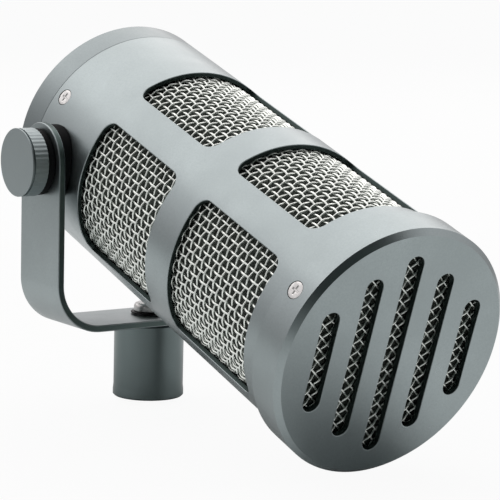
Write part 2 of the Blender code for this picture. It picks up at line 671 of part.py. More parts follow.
def build_yoke(swivel_axis):
    half_base = ARM_OUTER - STRIP_BEND_RADIUS
    arc = STRIP_BEND_RADIUS * math.pi / 2
    to_pivot = half_base + arc + PIVOT_HEIGHT - STRIP_BOTTOM - STRIP_BEND_RADIUS
    bends = [half_base + arc * index / BEND_STEPS for index in range(BEND_STEPS + 1)]
    strip = plate(stadium(2 * to_pivot + STRIP_WIDTH, STRIP_WIDTH), bends + [-u for u in bends])
    thicken(strip, STRIP_THICKNESS)
    bend_to_yoke(strip, half_base, arc)
    yoke = add_piece("yoke_strip", strip, "grey_coat", swivel_axis)
    holes = bmesh.new()
    rod(holes, BOLT_RADIUS + STUD_PLAY, STRIP_BOTTOM - OVERCUT, STRIP_TOP + OVERCUT, SMALL_STEPS)
    for side in (1, -1):
        rod(holes, STUD_HOLE_RADIUS, ARM_INNER - OVERCUT, ARM_OUTER + OVERCUT, SMALL_STEPS,
            Matrix.Translation((0.0, 0.0, PIVOT_HEIGHT)) @ along_x(side))
    cut(yoke, holes)
    for name, side in (("left", -1), ("right", 1)):
        washer = bmesh.new()
        turn(washer, tube_profile(
            WASHER_RADIUS, STUD_HOLE_RADIUS, WASHER_INNER, WASHER_INNER + WASHER_THICKNESS), INNER_STEPS)
        add_piece(f"arm_washer_{name}", washer, "black_nylon", swivel_axis,
                  (0.0, 0.0, PIVOT_HEIGHT), facing(side))


def build_stand_socket():
    stem = bmesh.new()
    bolt_hole = BOLT_RADIUS + CLEARANCE
    turn(stem, [
        (SOCKET_RADIUS, SOCKET_LENGTH), (SOCKET_RADIUS, SOCKET_EDGE), (SOCKET_RADIUS - SOCKET_EDGE, 0.0),
        (SOCKET_BORE_RADIUS, 0.0), (SOCKET_BORE_RADIUS, SOCKET_BORE_DEPTH),
        (bolt_hole, SOCKET_BORE_DEPTH), (bolt_hole, SOCKET_LENGTH)], INNER_STEPS)
    add_piece("stand_socket", stem, "dark_grey_coat")
    washer = bmesh.new()
    turn(washer, tube_profile(
        BOLT_WASHER_RADIUS, BOLT_RADIUS + STUD_PLAY, BOLT_WASHER_BOTTOM,
        BOLT_WASHER_BOTTOM + BOLT_WASHER_THICKNESS), INNER_STEPS)
    add_piece("socket_washer", washer, "black_steel")
    bm = bmesh.new()
    head_top = BOLT_HEAD_BOTTOM + BOLT_HEAD_HEIGHT
    turn(bm, [
        (0.0, head_top), (BOLT_HEAD_RADIUS, head_top), (BOLT_HEAD_RADIUS, BOLT_HEAD_BOTTOM),
        (BOLT_RADIUS, BOLT_HEAD_BOTTOM), (BOLT_RADIUS, BOLT_END), (0.0, BOLT_END)], SMALL_STEPS)
    bolt = add_piece("socket_bolt", bm, "bright_steel")
    hexagon = bmesh.new()
    rod(hexagon, BOLT_HEX_RADIUS, head_top - BOLT_HEX_DEPTH, head_top + OVERCUT, 6)
    cut(bolt, hexagon)


def build_microphone():
    clear_scene()
    build_stand_socket()
    swivel_axis = axis_empty("swivel_axis", (0.0, 0.0, 0.0))
    build_yoke(swivel_axis)
    tilt_axis = axis_empty(
        "tilt_axis", (0.0, 0.0, PIVOT_HEIGHT), (math.pi / 2 + REST_TILT, 0.0, 0.0), swivel_axis)
    build_barrel_tube(tilt_axis)
    build_front_cap(tilt_axis)
    build_rear_cap(tilt_axis)
    build_mesh_and_foam(tilt_axis)
    build_capsule(tilt_axis)
    build_connector(tilt_axis)
    build_screws(tilt_axis)
    for name, side in (("left", -1), ("right", 1)):
        build_pivot(name, side, tilt_axis)
        knob_axis = axis_empty(f"knob_axis_{name}", (0.0, 0.0, 0.0), parent=tilt_axis)
        build_knob(name, side, knob_axis)


build_microphone()
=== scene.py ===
"""Looks of an end-address microphone in a strip yoke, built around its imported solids.

New pieces are drawn in millimetres. Those of the barrel lie along Z, from the seam between the barrel
and the rear cap, with Y up. Those on the pivot lie along Z, from the middle of the barrel outwards.
"""
import json
import math

import bmesh
import bpy
from mathutils import Matrix, Quaternion, Vector, noise


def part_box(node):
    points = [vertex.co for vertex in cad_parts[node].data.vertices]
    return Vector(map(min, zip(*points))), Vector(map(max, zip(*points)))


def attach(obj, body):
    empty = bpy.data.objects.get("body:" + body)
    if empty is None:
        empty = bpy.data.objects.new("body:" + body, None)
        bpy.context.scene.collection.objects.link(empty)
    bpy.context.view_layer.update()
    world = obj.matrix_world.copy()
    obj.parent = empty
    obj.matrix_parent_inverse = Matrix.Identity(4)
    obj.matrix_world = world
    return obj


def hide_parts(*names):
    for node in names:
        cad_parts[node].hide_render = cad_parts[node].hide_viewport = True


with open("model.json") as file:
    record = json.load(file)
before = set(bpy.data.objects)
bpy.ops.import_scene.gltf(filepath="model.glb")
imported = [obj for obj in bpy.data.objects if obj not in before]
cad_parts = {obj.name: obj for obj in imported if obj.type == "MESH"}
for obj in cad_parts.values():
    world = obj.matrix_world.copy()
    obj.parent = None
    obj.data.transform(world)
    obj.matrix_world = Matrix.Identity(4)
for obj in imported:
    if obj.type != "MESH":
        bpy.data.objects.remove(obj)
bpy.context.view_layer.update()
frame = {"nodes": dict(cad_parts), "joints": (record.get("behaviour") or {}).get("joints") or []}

MM = 0.001
X, Z = 0, 2
MERGE = 0.001                   # points closer than this become one
SHARP_ANGLE = math.radians(28.0)
WALL_SLOPE = 0.1                # a face is a wall if its normal rises less than this
SQUARE = 0.999                  # a face is square to an axis if the cosine between them is above this
ROUND_STEPS = 192               # facets of the barrel and its caps
RING_STEPS = 128                # facets of flat rings and of the stand socket
SMALL_STEPS = 64                # facets of the connector and the bolt
HOLE_STEPS = 32                 # facets of screws, pins and small holes
CORNER_STEPS = 8                # facets of a quarter-round corner


def span(node, axis):
    """Where a CAD node begins and ends along an axis, in millimetres."""
    low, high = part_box(node)
    return low[axis] / MM, high[axis] / MM


def joint_height(name):
    found = [joint for joint in frame["joints"] if joint["name"] == name]
    return found[0]["pos_m"][Z] / MM


def angles_from(first, count):
    """Angles spread evenly around a circle, beginning with the first."""
    return [first + index * math.tau / count for index in range(count)]


# Room between pieces that seat on each other, and for the thickness of the woven wire
CLEARANCE = 0.3
WEAVE_ROOM = 1.0

# Barrel
BARREL_RADIUS = 31.5
BARREL_WALL = 1.2
BARREL_REAR = -CLEARANCE / 2    # halfway to the rear cap, so that the seam is narrow
BARREL_FRONT = 125.1
REST_TILT = math.radians(18.5)
PIVOT_FROM_SEAM = 10.85
PIVOT_HEIGHT = joint_height("barrel_tilt")
BARREL_SEAM = math.radians(45.0)    # where the flat barrel sheet is joined when it is rolled up

# Windows, in columns around the barrel and rows along it
WINDOW_ANGLES = angles_from(0.0, 4)
WINDOW_ARC = math.radians(71.6)
WINDOW_REARS = (25.9, 74.1)     # rear end of each row
WINDOW_LENGTH = 36.8
WINDOW_CORNER = 3.5
WINDOW_EDGE = 0.2

# Front cap
COLLAR_BORE = BARREL_RADIUS + CLEARANCE
COLLAR_RADIUS = COLLAR_BORE + 1.45
COLLAR_LENGTH = 11.2
COLLAR_EDGE = 0.5
COLLAR_SEAM = 0.0               # where the collar's flat sheet is joined
FACE_THICKNESS = 1.7
FACE_REAR = BARREL_FRONT + WEAVE_ROOM + 2 * CLEARANCE
FACE_FRONT = FACE_REAR + FACE_THICKNESS
FACE_CHAMFER = 1.4
COLLAR_REAR = FACE_FRONT - COLLAR_LENGTH
SLOT_WIDTH = 4.95
SLOT_PITCH = 10.65
SLOT_LENGTHS = (52.8, 42.2, 26.4)   # middle slot, then outwards
SLOT_EDGE = 0.2

# Rear cap
REAR_SEAM = -CLEARANCE
REAR_FACE = REAR_SEAM - 8.25
REAR_CAP_EDGE = 0.35
REAR_WALL = 4.0                 # of its end and of its sleeve inside the barrel
REAR_SLEEVE_RADIUS = BARREL_RADIUS - BARREL_WALL - CLEARANCE
REAR_SLEEVE_BORE = REAR_SLEEVE_RADIUS - REAR_WALL
REAR_SLEEVE_END = 20.0
SEAM_EDGE = 0.1

# Woven wire, crimped where the wires cross
WIRE_RADIUS = 0.29
WIRE_CRIMP = 0.27               # how far a wire swings to either side of the middle of the weave
WIRE_PITCH = 2.24
WEAVE_RADIUS = REAR_SLEEVE_RADIUS - WEAVE_ROOM / 2
WIRES_ALONG = 82
FIRST_WIRE_ANGLE = math.radians(147.25)
WIRE_START = REAR_SLEEVE_END + 2 * CLEARANCE
WIRE_END = BARREL_FRONT - CLEARANCE
FIRST_HOOP = 21.94
HOOPS = 46
DISC_MIDDLE = BARREL_FRONT + CLEARANCE + WEAVE_ROOM / 2
DISC_RADIUS = BARREL_RADIUS - CLEARANCE
DISC_TURN = math.radians(47.6)  # the disc's weave lies across the slots
DISC_CROSSING = (0.76, 21.97)   # a place where two of its wires cross
POINTS_PER_CROSSING = 4

# Foam behind the wire: a lining in the barrel, and a pad at the front
FOAM_RADIUS = REAR_SLEEVE_RADIUS - WEAVE_ROOM - CLEARANCE
FOAM_BORE = FOAM_RADIUS - 3.0
FOAM_ROUNDING = 1.2
FOAM_SHOULDER = FOAM_RADIUS - FOAM_ROUNDING
PAD_FRONT = BARREL_FRONT
PAD_REAR = PAD_FRONT - 5.5
FOAM_REAR = 22.6
FOAM_FRONT = PAD_REAR - CLEARANCE
FOAM_UNEVEN = 0.3               # how deep its skin sinks at most
FOAM_WAVES = 0.35               # waves of that skin to the millimetre
FOAM_END_SHARE = 0.3            # how much of it shows at the ends
FOAM_STEPS = 96
LINING_STEPS = 48
PAD_STEPS = 12
FOAM_CORNER_STEPS = 4

# Cross-head screws
SCREW_ANGLES = angles_from(math.radians(30.0), 3)
SCREW_RADIUS = 2.2
SCREW_HOLE = SCREW_RADIUS + CLEARANCE / 2
SCREW_SINK = 0.1
SCREW_HEAD_DEPTH = 1.2
SCREW_SHANK_RADIUS = 1.25
SCREW_EDGE = 0.08
FRONT_SCREW_PLACE = COLLAR_REAR + 4.7
FRONT_SCREW_LENGTH = 3.4
REAR_SCREW_PLACE = 3.85
REAR_SCREW_LENGTH = 5.8
CROSS_LENGTH = 2.6
CROSS_WIDTH = 0.5
CROSS_DEPTH = 0.25
CROSS_TAPER = 0.7

# Connector in the rear cap
SHELL_BORE = 8.2
SHELL_RADIUS = SHELL_BORE + 1.3
SHELL_REAR = REAR_FACE + CLEARANCE
SHELL_EDGE = 0.25
CONNECTOR_HOLE = SHELL_RADIUS + CLEARANCE
FLANGE_RADIUS = SHELL_RADIUS + 3.0
FLANGE_REAR = REAR_FACE + REAR_WALL + CLEARANCE
FLANGE_FRONT = FLANGE_REAR + 2.0
INSERT_RADIUS = SHELL_BORE - CLEARANCE
INSERT_REAR = SHELL_REAR + 15.0
INSERT_FRONT = INSERT_REAR + 3.5
INSERT_EDGE = 0.2
PIN_ANGLES = angles_from(math.radians(30.0), 3)
PIN_RADIUS = 1.2
PIN_PLAY = 0.1
PIN_CIRCLE = 4.0
PIN_TIP = SHELL_REAR + 3.0
PIN_END = INSERT_FRONT + CLEARANCE + 1.6    # far side of the terminal board

# Pivot: spacers against the barrel, washers and knobs outside the arms
STUD_HOLE = 3.4
SPACER_RADIUS = 10.0
SPACER_BLANK = BARREL_RADIUS - 2.0      # inner end of a spacer before the barrel's curve is cut into it
SPACER_FLAT = 1.0               # how deep its outer end stays flat
SPACER_EDGE = 0.25
SADDLE_RADIUS = BARREL_RADIUS + CLEARANCE
WASHER_RADIUS = 9.0
WASHER_EDGE = 0.3
KNOB_RADIUS = 9.25
KNOB_LIP = 0.3
KNOB_GROOVE = 0.6
KNOB_GROOVE_DEPTH = 0.5
KNOB_EDGE = 0.12
KNOB_EDGE_STEPS = 3
KNURL_RIDGES = 45
KNURL_DEPTH = 0.11
POINTS_PER_RIDGE = 6

# Yoke strip
STRIP_WIDTH = 21.3
STRIP_THICKNESS = 1.9
STRIP_BEND_RADIUS = 13.5
STRIP_EDGE = 0.3
BEND_STEPS = 24

# Stand socket and its bolt
SOCKET_RADIUS = 10.0
SOCKET_WAIST = 9.84
SOCKET_LIP = 1.7
SOCKET_LIP_TAPER = 1.5
SOCKET_BORE = 7.7
SOCKET_BORE_DEPTH = 13.5
SOCKET_EDGE = 0.4
BOLT_RADIUS = 2.9
BOLT_HOLE = BOLT_RADIUS + CLEARANCE
BOLT_WASHER_HOLE = BOLT_RADIUS + 0.5
BOLT_WASHER_EDGE = 0.15
BOLT_HEAD_RADIUS = 4.4
BOLT_HEAD_ROUNDING = 1.2
BOLT_HEX_RADIUS = 2.2
BOLT_HEX_SIDES = 6
BOLT_HEX_DEPTH = 1.3
THREAD_PITCH = 0.94             # 27 turns to the inch
THREAD_DEPTH = 0.45
THREAD_STEPS = 48

# Finishes: scales are in waves to the metre, depths in metres
NONE_TO_FULL = (0.0, 1.0)
CLOUD_SCALE = 35.0
SMEAR_SCALE = 160.0
COAT_METALLIC = 0.95
COAT_GRAIN = 7000.0
COARSE_GRAIN = 0.3              # scale of the coarse grain, as a share of the fine one's
COAT_DEPTH = 0.00003
COAT_MARKS = (0.15, 0.4)        # where marks on a coat begin and where they are full
COAT_WEAR = (0.03, -0.05)       # change of its roughness outside the marks and in them
LATHE_SCALE = 4000.0
LATHE_GRAIN = 0.5               # how much of a coat's grain is left beside the rings
DRAW_SCALE = 900.0
MOULD_GRAIN = 2500.0
MARK_DEPTH = 0.00005
HAND_MARKS = (0.1, 0.4)         # the same as on a coat, for bare metal and mouldings
METAL_WEAR = (0.08, 0.0)
MOULD_WEAR = (0.06, -0.06)
CELL_SCALE = 1400.0
CELL_DEPTH = 0.0004
CELL_REACH = (0.1, 0.6)         # distances from a cell's middle between which its painted shade fades
FOAM_CLOUDS = (0.2, 0.8)
FOAM_ROUGHNESS = (0.9, 1.0)

# Camera, in millimetres
CAMERA_PLACE = Vector((-319.3, -516.1, 127.9))
CAMERA_AIM = Vector((-0.56, -50.4, 47.9))
CAMERA_ROLL = math.radians(1.38)
CAMERA_LENS = 156.7
SENSOR_WIDTH = 36.0

# Studio, in metres
CLIP_START = 0.01
FLOOR_SIZE = 16.0
FLOOR_GAP = 0.0014
FLOOR_GLOW = 0.94               # share of plain white in what the camera sees of the floor
FLOOR_GLOW_IN_METAL = 0.8       # and in what metal shows of it
SHADE_PLACE = (0.0, -0.075, 0.0)    # middle of the painted shade under the barrel, in what metal shows of the floor
SHADE_STRETCH = (1.0, 2.2, 1.0)
SHADE_REACH = (0.02, 0.042)     # half its width, where it begins to end and where it ends
FOOT_SHADE = (0.025, 0.09)      # distances from the stand between which the painted shade at its foot ends
FLOOR_FADE = (0.3, 0.62)        # distances from the stand between which the floor is painted dimmer in metal
FLOOR_UNLIT_SIDE = (-0.6, -0.8, 0.0)
FLOOR_UNLIT = (0.17, 0.29)      # how far to that side the floor is painted dark as if unlit, in metal
CARD_FIBRE = 300.0
CARD_ROUGHNESS = 0.9
SOFTBOX_SIZE = (2.6, 1.4)
SOFTBOX_PLACE = Vector((0.25, 0.75, 1.05))
SOFTBOX_POWER = 10.3
SOFTBOX_COLOUR = (1.0, 0.95, 0.93)
SUBJECT = Vector((0.0, -0.05, 0.06))
UNLIT_SIDE = Vector((-0.27, -0.88, 0.38)).normalized()
UNLIT_SPREAD = (0.58, 0.8)      # cosines to that side between which the studio gets dark
HORIZON_HEIGHT = 0.4            # height of the directions below which the backdrop gets dimmer
HORIZON_LOSS = 0.5
WHITE = (1.0, 1.0, 1.0, 1.0)
SKY = (1.0, 0.965, 0.975, 1.0)  # the backdrop as metal shows it
FILL = (0.62, 0.63, 0.64, 1.0)  # the backdrop as it lights matt surfaces
BLACK = (0.0, 0.0, 0.0, 1.0)
# painted shade: the floor as metal shows it far away
DIM = (0.5, 0.5, 0.5, 1.0)
UNLIT = (0.02, 0.03, 0.029, 1.0)
# painted shade: the floor as metal shows it on its unlit side
UNLIT_CARD = (0.13, 0.15, 0.148, 1.0)
CARD_DARK = (0.84, 0.84, 0.84, 1.0)
CARD_LIGHT = (0.88, 0.88, 0.88, 1.0)

BARREL_PLACE = (
    Matrix.Translation((0.0, 0.0, PIVOT_HEIGHT))
    @ Matrix.Rotation(math.pi / 2 + REST_TILT, 4, "X")
    @ Matrix.Translation((0.0, 0.0, -PIVOT_FROM_SEAM)))


# Shader helpers

def new_node(tree, kind, **settings):
    node = tree.nodes.new(kind)
    for name, value in settings.items():
        setattr(node, name, value)
    return node


def feed(tree, socket, value):
    """Link another node's socket to this one, or set it to a plain value."""
    if isinstance(value, bpy.types.NodeSocket):
        tree.links.new(value, socket)
    else:
        socket.default_value = value


def object_place(tree, location=(0.0, 0.0, 0.0), rotation=(0.0, 0.0, 0.0), stretch=(1.0, 1.0, 1.0)):
    """Object coordinates, seen from an origin and axes that lie on the piece."""
    coordinates = new_node(tree, "ShaderNodeTexCoord")
    mapping = new_node(tree, "ShaderNodeMapping", vector_type="TEXTURE")
    mapping.inputs["Location"].default_value = location
    mapping.inputs["Rotation"].default_value = rotation
    mapping.inputs["Scale"].default_value = stretch
    tree.links.new(coordinates.outputs["Object"], mapping.inputs["Vector"])
    return mapping.outputs["Vector"]


def vector_value(tree, operation, vector, other=(0.0, 0.0, 0.0)):
    node = new_node(tree, "ShaderNodeVectorMath", operation=operation)
    feed(tree, node.inputs[0], vector)
    feed(tree, node.inputs[1], other)
    return node.outputs["Value"]


def noise_value(tree, vector, scale, detail):
    node = new_node(tree, "ShaderNodeTexNoise")
    feed(tree, node.inputs["Vector"], vector)
    feed(tree, node.inputs["Scale"], scale)
    node.inputs["Detail"].default_value = detail
    return node.outputs["Fac"]


def math_value(tree, operation, first, second=0.0):
    node = new_node(tree, "ShaderNodeMath", operation=operation)
    feed(tree, node.inputs[0], first)
    feed(tree, node.inputs[1], second)
    return node.outputs["Value"]


def remap(tree, value, source, target):
    """Carry a value from one range to another."""
    node = new_node(tree, "ShaderNodeMapRange")
    feed(tree, node.inputs["Value"], value)
    node.inputs["From Min"].default_value, node.inputs["From Max"].default_value = source
    node.inputs["To Min"].default_value, node.inputs["To Max"].default_value = target
    return node.outputs["Result"]


def mix_colours(tree, share, first, second):
    node = new_node(tree, "ShaderNodeMix", data_type="RGBA")
    feed(tree, node.inputs["Factor"], share)
    feed(tree, node.inputs[6], first)
    feed(tree, node.inputs[7], second)
    return node.outputs[2]


def bumped(tree, height, strength, depth):
    node = new_node(tree, "ShaderNodeBump")
    node.inputs["Strength"].default_value = strength
    node.inputs["Distance"].default_value = depth
    feed(tree, node.inputs["Height"], height)
    return node.outputs["Normal"]


def tinted(colour, factor):
    """A colour made lighter or darker, with full alpha."""
    return (*[channel * factor for channel in colour], 1.0)


def uneven(tree, share, colour, dark, light):
    """A colour that goes from a darker to a lighter tint of itself."""
    return mix_colours(tree, share, tinted(colour, dark), tinted(colour, light))


def worn(tree, smudge, reach, roughness, wear):
    """A roughness with hand marks. Wear is its change outside the marks and in the middle of them."""
    clean, handled = wear
    return remap(tree, smudge, reach, (roughness + clean, roughness + handled))


def new_group(name, inputs, outputs):
    """An empty shader group with float outputs. Inputs map a name to a socket type."""
    tree = bpy.data.node_groups.new(name, "ShaderNodeTree")
    for socket, kind in inputs.items():
        tree.interface.new_socket(name=socket, in_out="INPUT", socket_type=kind)
    for socket in outputs:
        tree.interface.new_socket(name=socket, in_out="OUTPUT", socket_type="NodeSocketFloat")
    return tree, new_node(tree, "NodeGroupInput").outputs, new_node(tree, "NodeGroupOutput").inputs


def use_group(tree, group, **values):
    node = new_node(tree, "ShaderNodeGroup")
    node.node_tree = group
    for name, value in values.items():
        feed(tree, node.inputs[name], value)
    return node.outputs


def build_satin_grain():
    """Fine even grain of blasted metal under a coat."""
    tree, given, result = new_group(
        "satin_grain", {"Vector": "NodeSocketVector", "Scale": "NodeSocketFloat"}, ("Height", "Tone"))
    fine = noise_value(tree, given["Vector"], given["Scale"], detail=1.0)
    coarse_scale = math_value(tree, "MULTIPLY", given["Scale"], COARSE_GRAIN)
    coarse = noise_value(tree, given["Vector"], coarse_scale, detail=2.0)
    tree.links.new(math_value(tree, "ADD", fine, coarse), result["Height"])
    tree.links.new(coarse, result["Tone"])
    return tree


def build_handling():
    """Broad soft unevenness of a coat, and the marks that hands leave on it."""
    tree, given, result = new_group("handling", {"Vector": "NodeSocketVector"}, ("Cloud", "Smudge"))
    cloud = noise_value(tree, given["Vector"], CLOUD_SCALE, detail=3.0)
    smears = noise_value(tree, given["Vector"], SMEAR_SCALE, detail=5.0)
    tree.links.new(cloud, result["Cloud"])
    tree.links.new(math_value(tree, "MULTIPLY", cloud, smears), result["Smudge"])
    return tree


def build_lathe_rings():
    """Uneven rings about Z, as a lathe tool leaves on a face."""
    tree, given, result = new_group(
        "lathe_rings", {"Vector": "NodeSocketVector", "Scale": "NodeSocketFloat"}, ("Height",))
    split = new_node(tree, "ShaderNodeSeparateXYZ")
    tree.links.new(given["Vector"], split.inputs["Vector"])
    sides = (split.outputs["X"], split.outputs["Y"])
    squares = [math_value(tree, "MULTIPLY", side, side) for side in sides]
    radius = math_value(tree, "SQRT", math_value(tree, "ADD", *squares))
    rings = new_node(tree, "ShaderNodeTexNoise", noise_dimensions="1D")
    tree.links.new(radius, rings.inputs["W"])
    tree.links.new(given["Scale"], rings.inputs["Scale"])
    tree.links.new(rings.outputs["Fac"], result["Height"])
    return tree


def build_open_cells():
    """Open cells of foam, with painted shade in the hollow middle of each cell."""
    tree, given, result = new_group(
        "open_cells", {"Vector": "NodeSocketVector", "Scale": "NodeSocketFloat"}, ("Height", "Depth"))
    cells = new_node(tree, "ShaderNodeTexVoronoi")
    tree.links.new(given["Vector"], cells.inputs["Vector"])
    tree.links.new(given["Scale"], cells.inputs["Scale"])
    tree.links.new(cells.outputs["Distance"], result["Height"])
    tree.links.new(remap(tree, cells.outputs["Distance"], CELL_REACH, NONE_TO_FULL), result["Depth"])
    return tree


SATIN_GRAIN = build_satin_grain()
HANDLING = build_handling()
LATHE_RINGS = build_lathe_rings()
OPEN_CELLS = build_open_cells()


# Materials

def new_material(name, metallic):
    material = bpy.data.materials.new(name)
    material.use_nodes = True
    tree = material.node_tree
    shader = tree.nodes["Principled BSDF"]
    shader.inputs["Metallic"].default_value = metallic
    return material, tree, shader.inputs


def coat(name, colour, roughness):
    """Satin coat over metal: broad unevenness in the colour, hand marks in the gloss, fine grain."""
    material, tree, shader = new_material(name, COAT_METALLIC)
    place = object_place(tree)
    marks = use_group(tree, HANDLING, Vector=place)
    grain = use_group(tree, SATIN_GRAIN, Vector=place, Scale=COAT_GRAIN)
    tone = math_value(tree, "MULTIPLY", marks["Cloud"], grain["Tone"])
    share = remap(tree, tone, COAT_MARKS, NONE_TO_FULL)
    feed(tree, shader["Base Color"], uneven(tree, share, colour, dark=0.95, light=1.05))
    feed(tree, shader["Roughness"], worn(tree, marks["Smudge"], COAT_MARKS, roughness, COAT_WEAR))
    feed(tree, shader["Normal"], bumped(tree, grain["Height"], strength=0.12, depth=COAT_DEPTH))
    return material


def lathe_coat(name, colour, roughness, location, rotation):
    """The same coat on a piece that was turned about an axis, whose rings still show in it."""
    material, tree, shader = new_material(name, COAT_METALLIC)
    place = object_place(tree, location, rotation)
    marks = use_group(tree, HANDLING, Vector=place)
    rings = use_group(tree, LATHE_RINGS, Vector=place, Scale=LATHE_SCALE)
    grain = use_group(tree, SATIN_GRAIN, Vector=place, Scale=COAT_GRAIN)
    feed(tree, shader["Base Color"], uneven(tree, marks["Cloud"], colour, dark=0.94, light=1.06))
    feed(tree, shader["Roughness"], worn(tree, marks["Smudge"], COAT_MARKS, roughness, COAT_WEAR))
    grain_left = math_value(tree, "MULTIPLY", grain["Height"], LATHE_GRAIN)
    height = math_value(tree, "ADD", rings["Height"], grain_left)
    feed(tree, shader["Normal"], bumped(tree, height, strength=0.1, depth=COAT_DEPTH))
    return material


def bare_metal(name, colour, roughness):
    """Plated or bare metal with fine draw marks and a little dulling."""
    material, tree, shader = new_material(name, 1.0)
    place = object_place(tree)
    marks = use_group(tree, HANDLING, Vector=place)
    draw = noise_value(tree, place, DRAW_SCALE, detail=4.0)
    feed(tree, shader["Base Color"], uneven(tree, draw, colour, dark=0.86, light=1.06))
    feed(tree, shader["Roughness"], worn(tree, marks["Smudge"], HAND_MARKS, roughness, METAL_WEAR))
    feed(tree, shader["Normal"], bumped(tree, draw, strength=0.08, depth=MARK_DEPTH))
    return material


def moulded(name, colour, roughness, shine=0.5):
    """Moulded plastic, rubber or lacquer, with a fine matt texture."""
    material, tree, shader = new_material(name, 0.0)
    shader["Specular IOR Level"].default_value = shine
    place = object_place(tree)
    marks = use_group(tree, HANDLING, Vector=place)
    grain = use_group(tree, SATIN_GRAIN, Vector=place, Scale=MOULD_GRAIN)
    feed(tree, shader["Base Color"], uneven(tree, grain["Tone"], colour, dark=0.75, light=1.3))
    feed(tree, shader["Roughness"], worn(tree, marks["Smudge"], HAND_MARKS, roughness, MOULD_WEAR))
    feed(tree, shader["Normal"], bumped(tree, grain["Height"], strength=0.25, depth=MARK_DEPTH))
    return material


def open_foam(name, colour):
    """Black open-cell foam."""
    material, tree, shader = new_material(name, 0.0)
    place = object_place(tree)
    cells = use_group(tree, OPEN_CELLS, Vector=place, Scale=CELL_SCALE)
    marks = use_group(tree, HANDLING, Vector=place)
    # painted shade: the foam is darker in the hollow middle of each cell
    feed(tree, shader["Base Color"], uneven(tree, cells["Depth"], colour, dark=0.3, light=1.6))
    feed(tree, shader["Roughness"], remap(tree, marks["Cloud"], FOAM_CLOUDS, FOAM_ROUGHNESS))
    feed(tree, shader["Normal"], bumped(tree, cells["Height"], strength=0.9, depth=CELL_DEPTH))
    return material


GREY = (0.31, 0.355, 0.36)
REAR_GREY = (0.23, 0.265, 0.27)
SOCKET_GREY = (0.15, 0.185, 0.185)
# painted shade: the yoke strip's edges and hole walls are coloured darker for the dark reflection they
# should show
PAINTED_SHADE_EDGE_GREY = (0.09, 0.12, 0.115)
# painted shade: the walls of the barrel's windows and holes and of the front cap's slots are coloured near
# black for the shade inside them
PAINTED_SHADE_CUT_GREY = (0.035, 0.05, 0.047)
PIVOT_PLACE = (0.0, 0.0, PIVOT_HEIGHT * MM)
ACROSS = (0.0, math.pi / 2, 0.0)

barrel_coat = coat("barrel_coat", GREY, roughness=0.33)
cap_coat = coat("cap_coat", GREY, roughness=0.32)
rear_coat = coat("rear_coat", REAR_GREY, roughness=0.32)
yoke_coat = coat("yoke_coat", GREY, roughness=0.34)
# painted shade on the yoke strip's edges
painted_shade_edge_coat = coat("painted_shade_edge_coat", PAINTED_SHADE_EDGE_GREY, roughness=0.34)
knob_coat = lathe_coat("knob_coat", GREY, 0.45, PIVOT_PLACE, ACROSS)
socket_coat = lathe_coat("socket_coat", SOCKET_GREY, 0.34, (0.0, 0.0, 0.0), (0.0, 0.0, 0.0))
# painted shade on the walls of the windows, holes and slots
painted_shade_cut_coat = coat("painted_shade_cut_coat", PAINTED_SHADE_CUT_GREY, roughness=0.45)
wire_steel = bare_metal("wire_steel", (0.93, 0.97, 0.925), roughness=0.4)
screw_steel = bare_metal("screw_steel", (0.62, 0.62, 0.61), roughness=0.32)
black_oxide = bare_metal("black_oxide", (0.03, 0.03, 0.032), roughness=0.42)
brass = bare_metal("brass", (0.72, 0.53, 0.24), roughness=0.32)
gold_plate = bare_metal("gold_plate", (0.85, 0.63, 0.26), roughness=0.22)
black_nylon = moulded("black_nylon", (0.006, 0.0065, 0.007), roughness=0.65, shine=0.1)
black_rubber = moulded("black_rubber", (0.018, 0.018, 0.018), roughness=0.8)
green_board = moulded("green_board", (0.015, 0.10, 0.045), roughness=0.4)
black_foam = open_foam("black_foam", (0.05, 0.058, 0.05))


# Mesh helpers

def merge_into(bm, part):
    """Add the geometry of part to bm."""
    mesh = bpy.data.meshes.new("part")
    part.to_mesh(mesh)
    part.free()
    bm.from_mesh(mesh)
    bpy.data.meshes.remove(mesh)


def turned(profile, steps, closed=True):
    """Spin a profile of (radius, height) points about Z."""
    bm = bmesh.new()
    verts = [bm.verts.new((radius, 0.0, height)) for radius, height in profile]
    for start, end in zip(verts, verts[1:]):
        bm.edges.new((start, end))
    if closed:
        bm.edges.new((verts[-1], verts[0]))
    bmesh.ops.spin(
        bm, geom=bm.verts[:] + bm.edges[:], cent=(0, 0, 0), axis=(0, 0, 1),
        angle=math.tau, steps=steps, use_merge=True, use_duplicate=False)
    bmesh.ops.remove_doubles(bm, verts=bm.verts, dist=MERGE)
    bmesh.ops.recalc_face_normals(bm, faces=bm.faces)
    return bm


def arc(centre, radius, start, end, steps):
    """Points (radius, height) along an arc of a profile, angles in degrees."""
    middle, height = centre
    angles = [math.radians(start + (end - start) * index / steps) for index in range(steps + 1)]
    return [(middle + radius * math.cos(angle), height + radius * math.sin(angle)) for angle in angles]


def circle_wire(radius, steps, centre=(0.0, 0.0)):
    bm = bmesh.new()
    bmesh.ops.create_circle(bm, segments=steps, radius=radius, matrix=Matrix.Translation((*centre, 0.0)))
    return bm


def rounded_wire(width, height, corner, centre=(0.0, 0.0)):
    """Wire of a rectangle with round corners."""
    bm = bmesh.new()
    bmesh.ops.create_grid(bm, x_segments=1, y_segments=1, size=0.5)
    bmesh.ops.scale(bm, vec=(width, height, 1.0), verts=bm.verts)
    if corner > 0.0:
        bmesh.ops.bevel(
            bm, geom=bm.verts[:], offset=corner, offset_type="OFFSET", affect="VERTICES",
            segments=CORNER_STEPS, profile=0.5, material=-1)
        bmesh.ops.remove_doubles(bm, verts=bm.verts, dist=MERGE)
    bmesh.ops.delete(bm, geom=bm.faces[:], context="FACES_ONLY")
    bmesh.ops.translate(bm, verts=bm.verts, vec=(*centre, 0.0))
    return bm


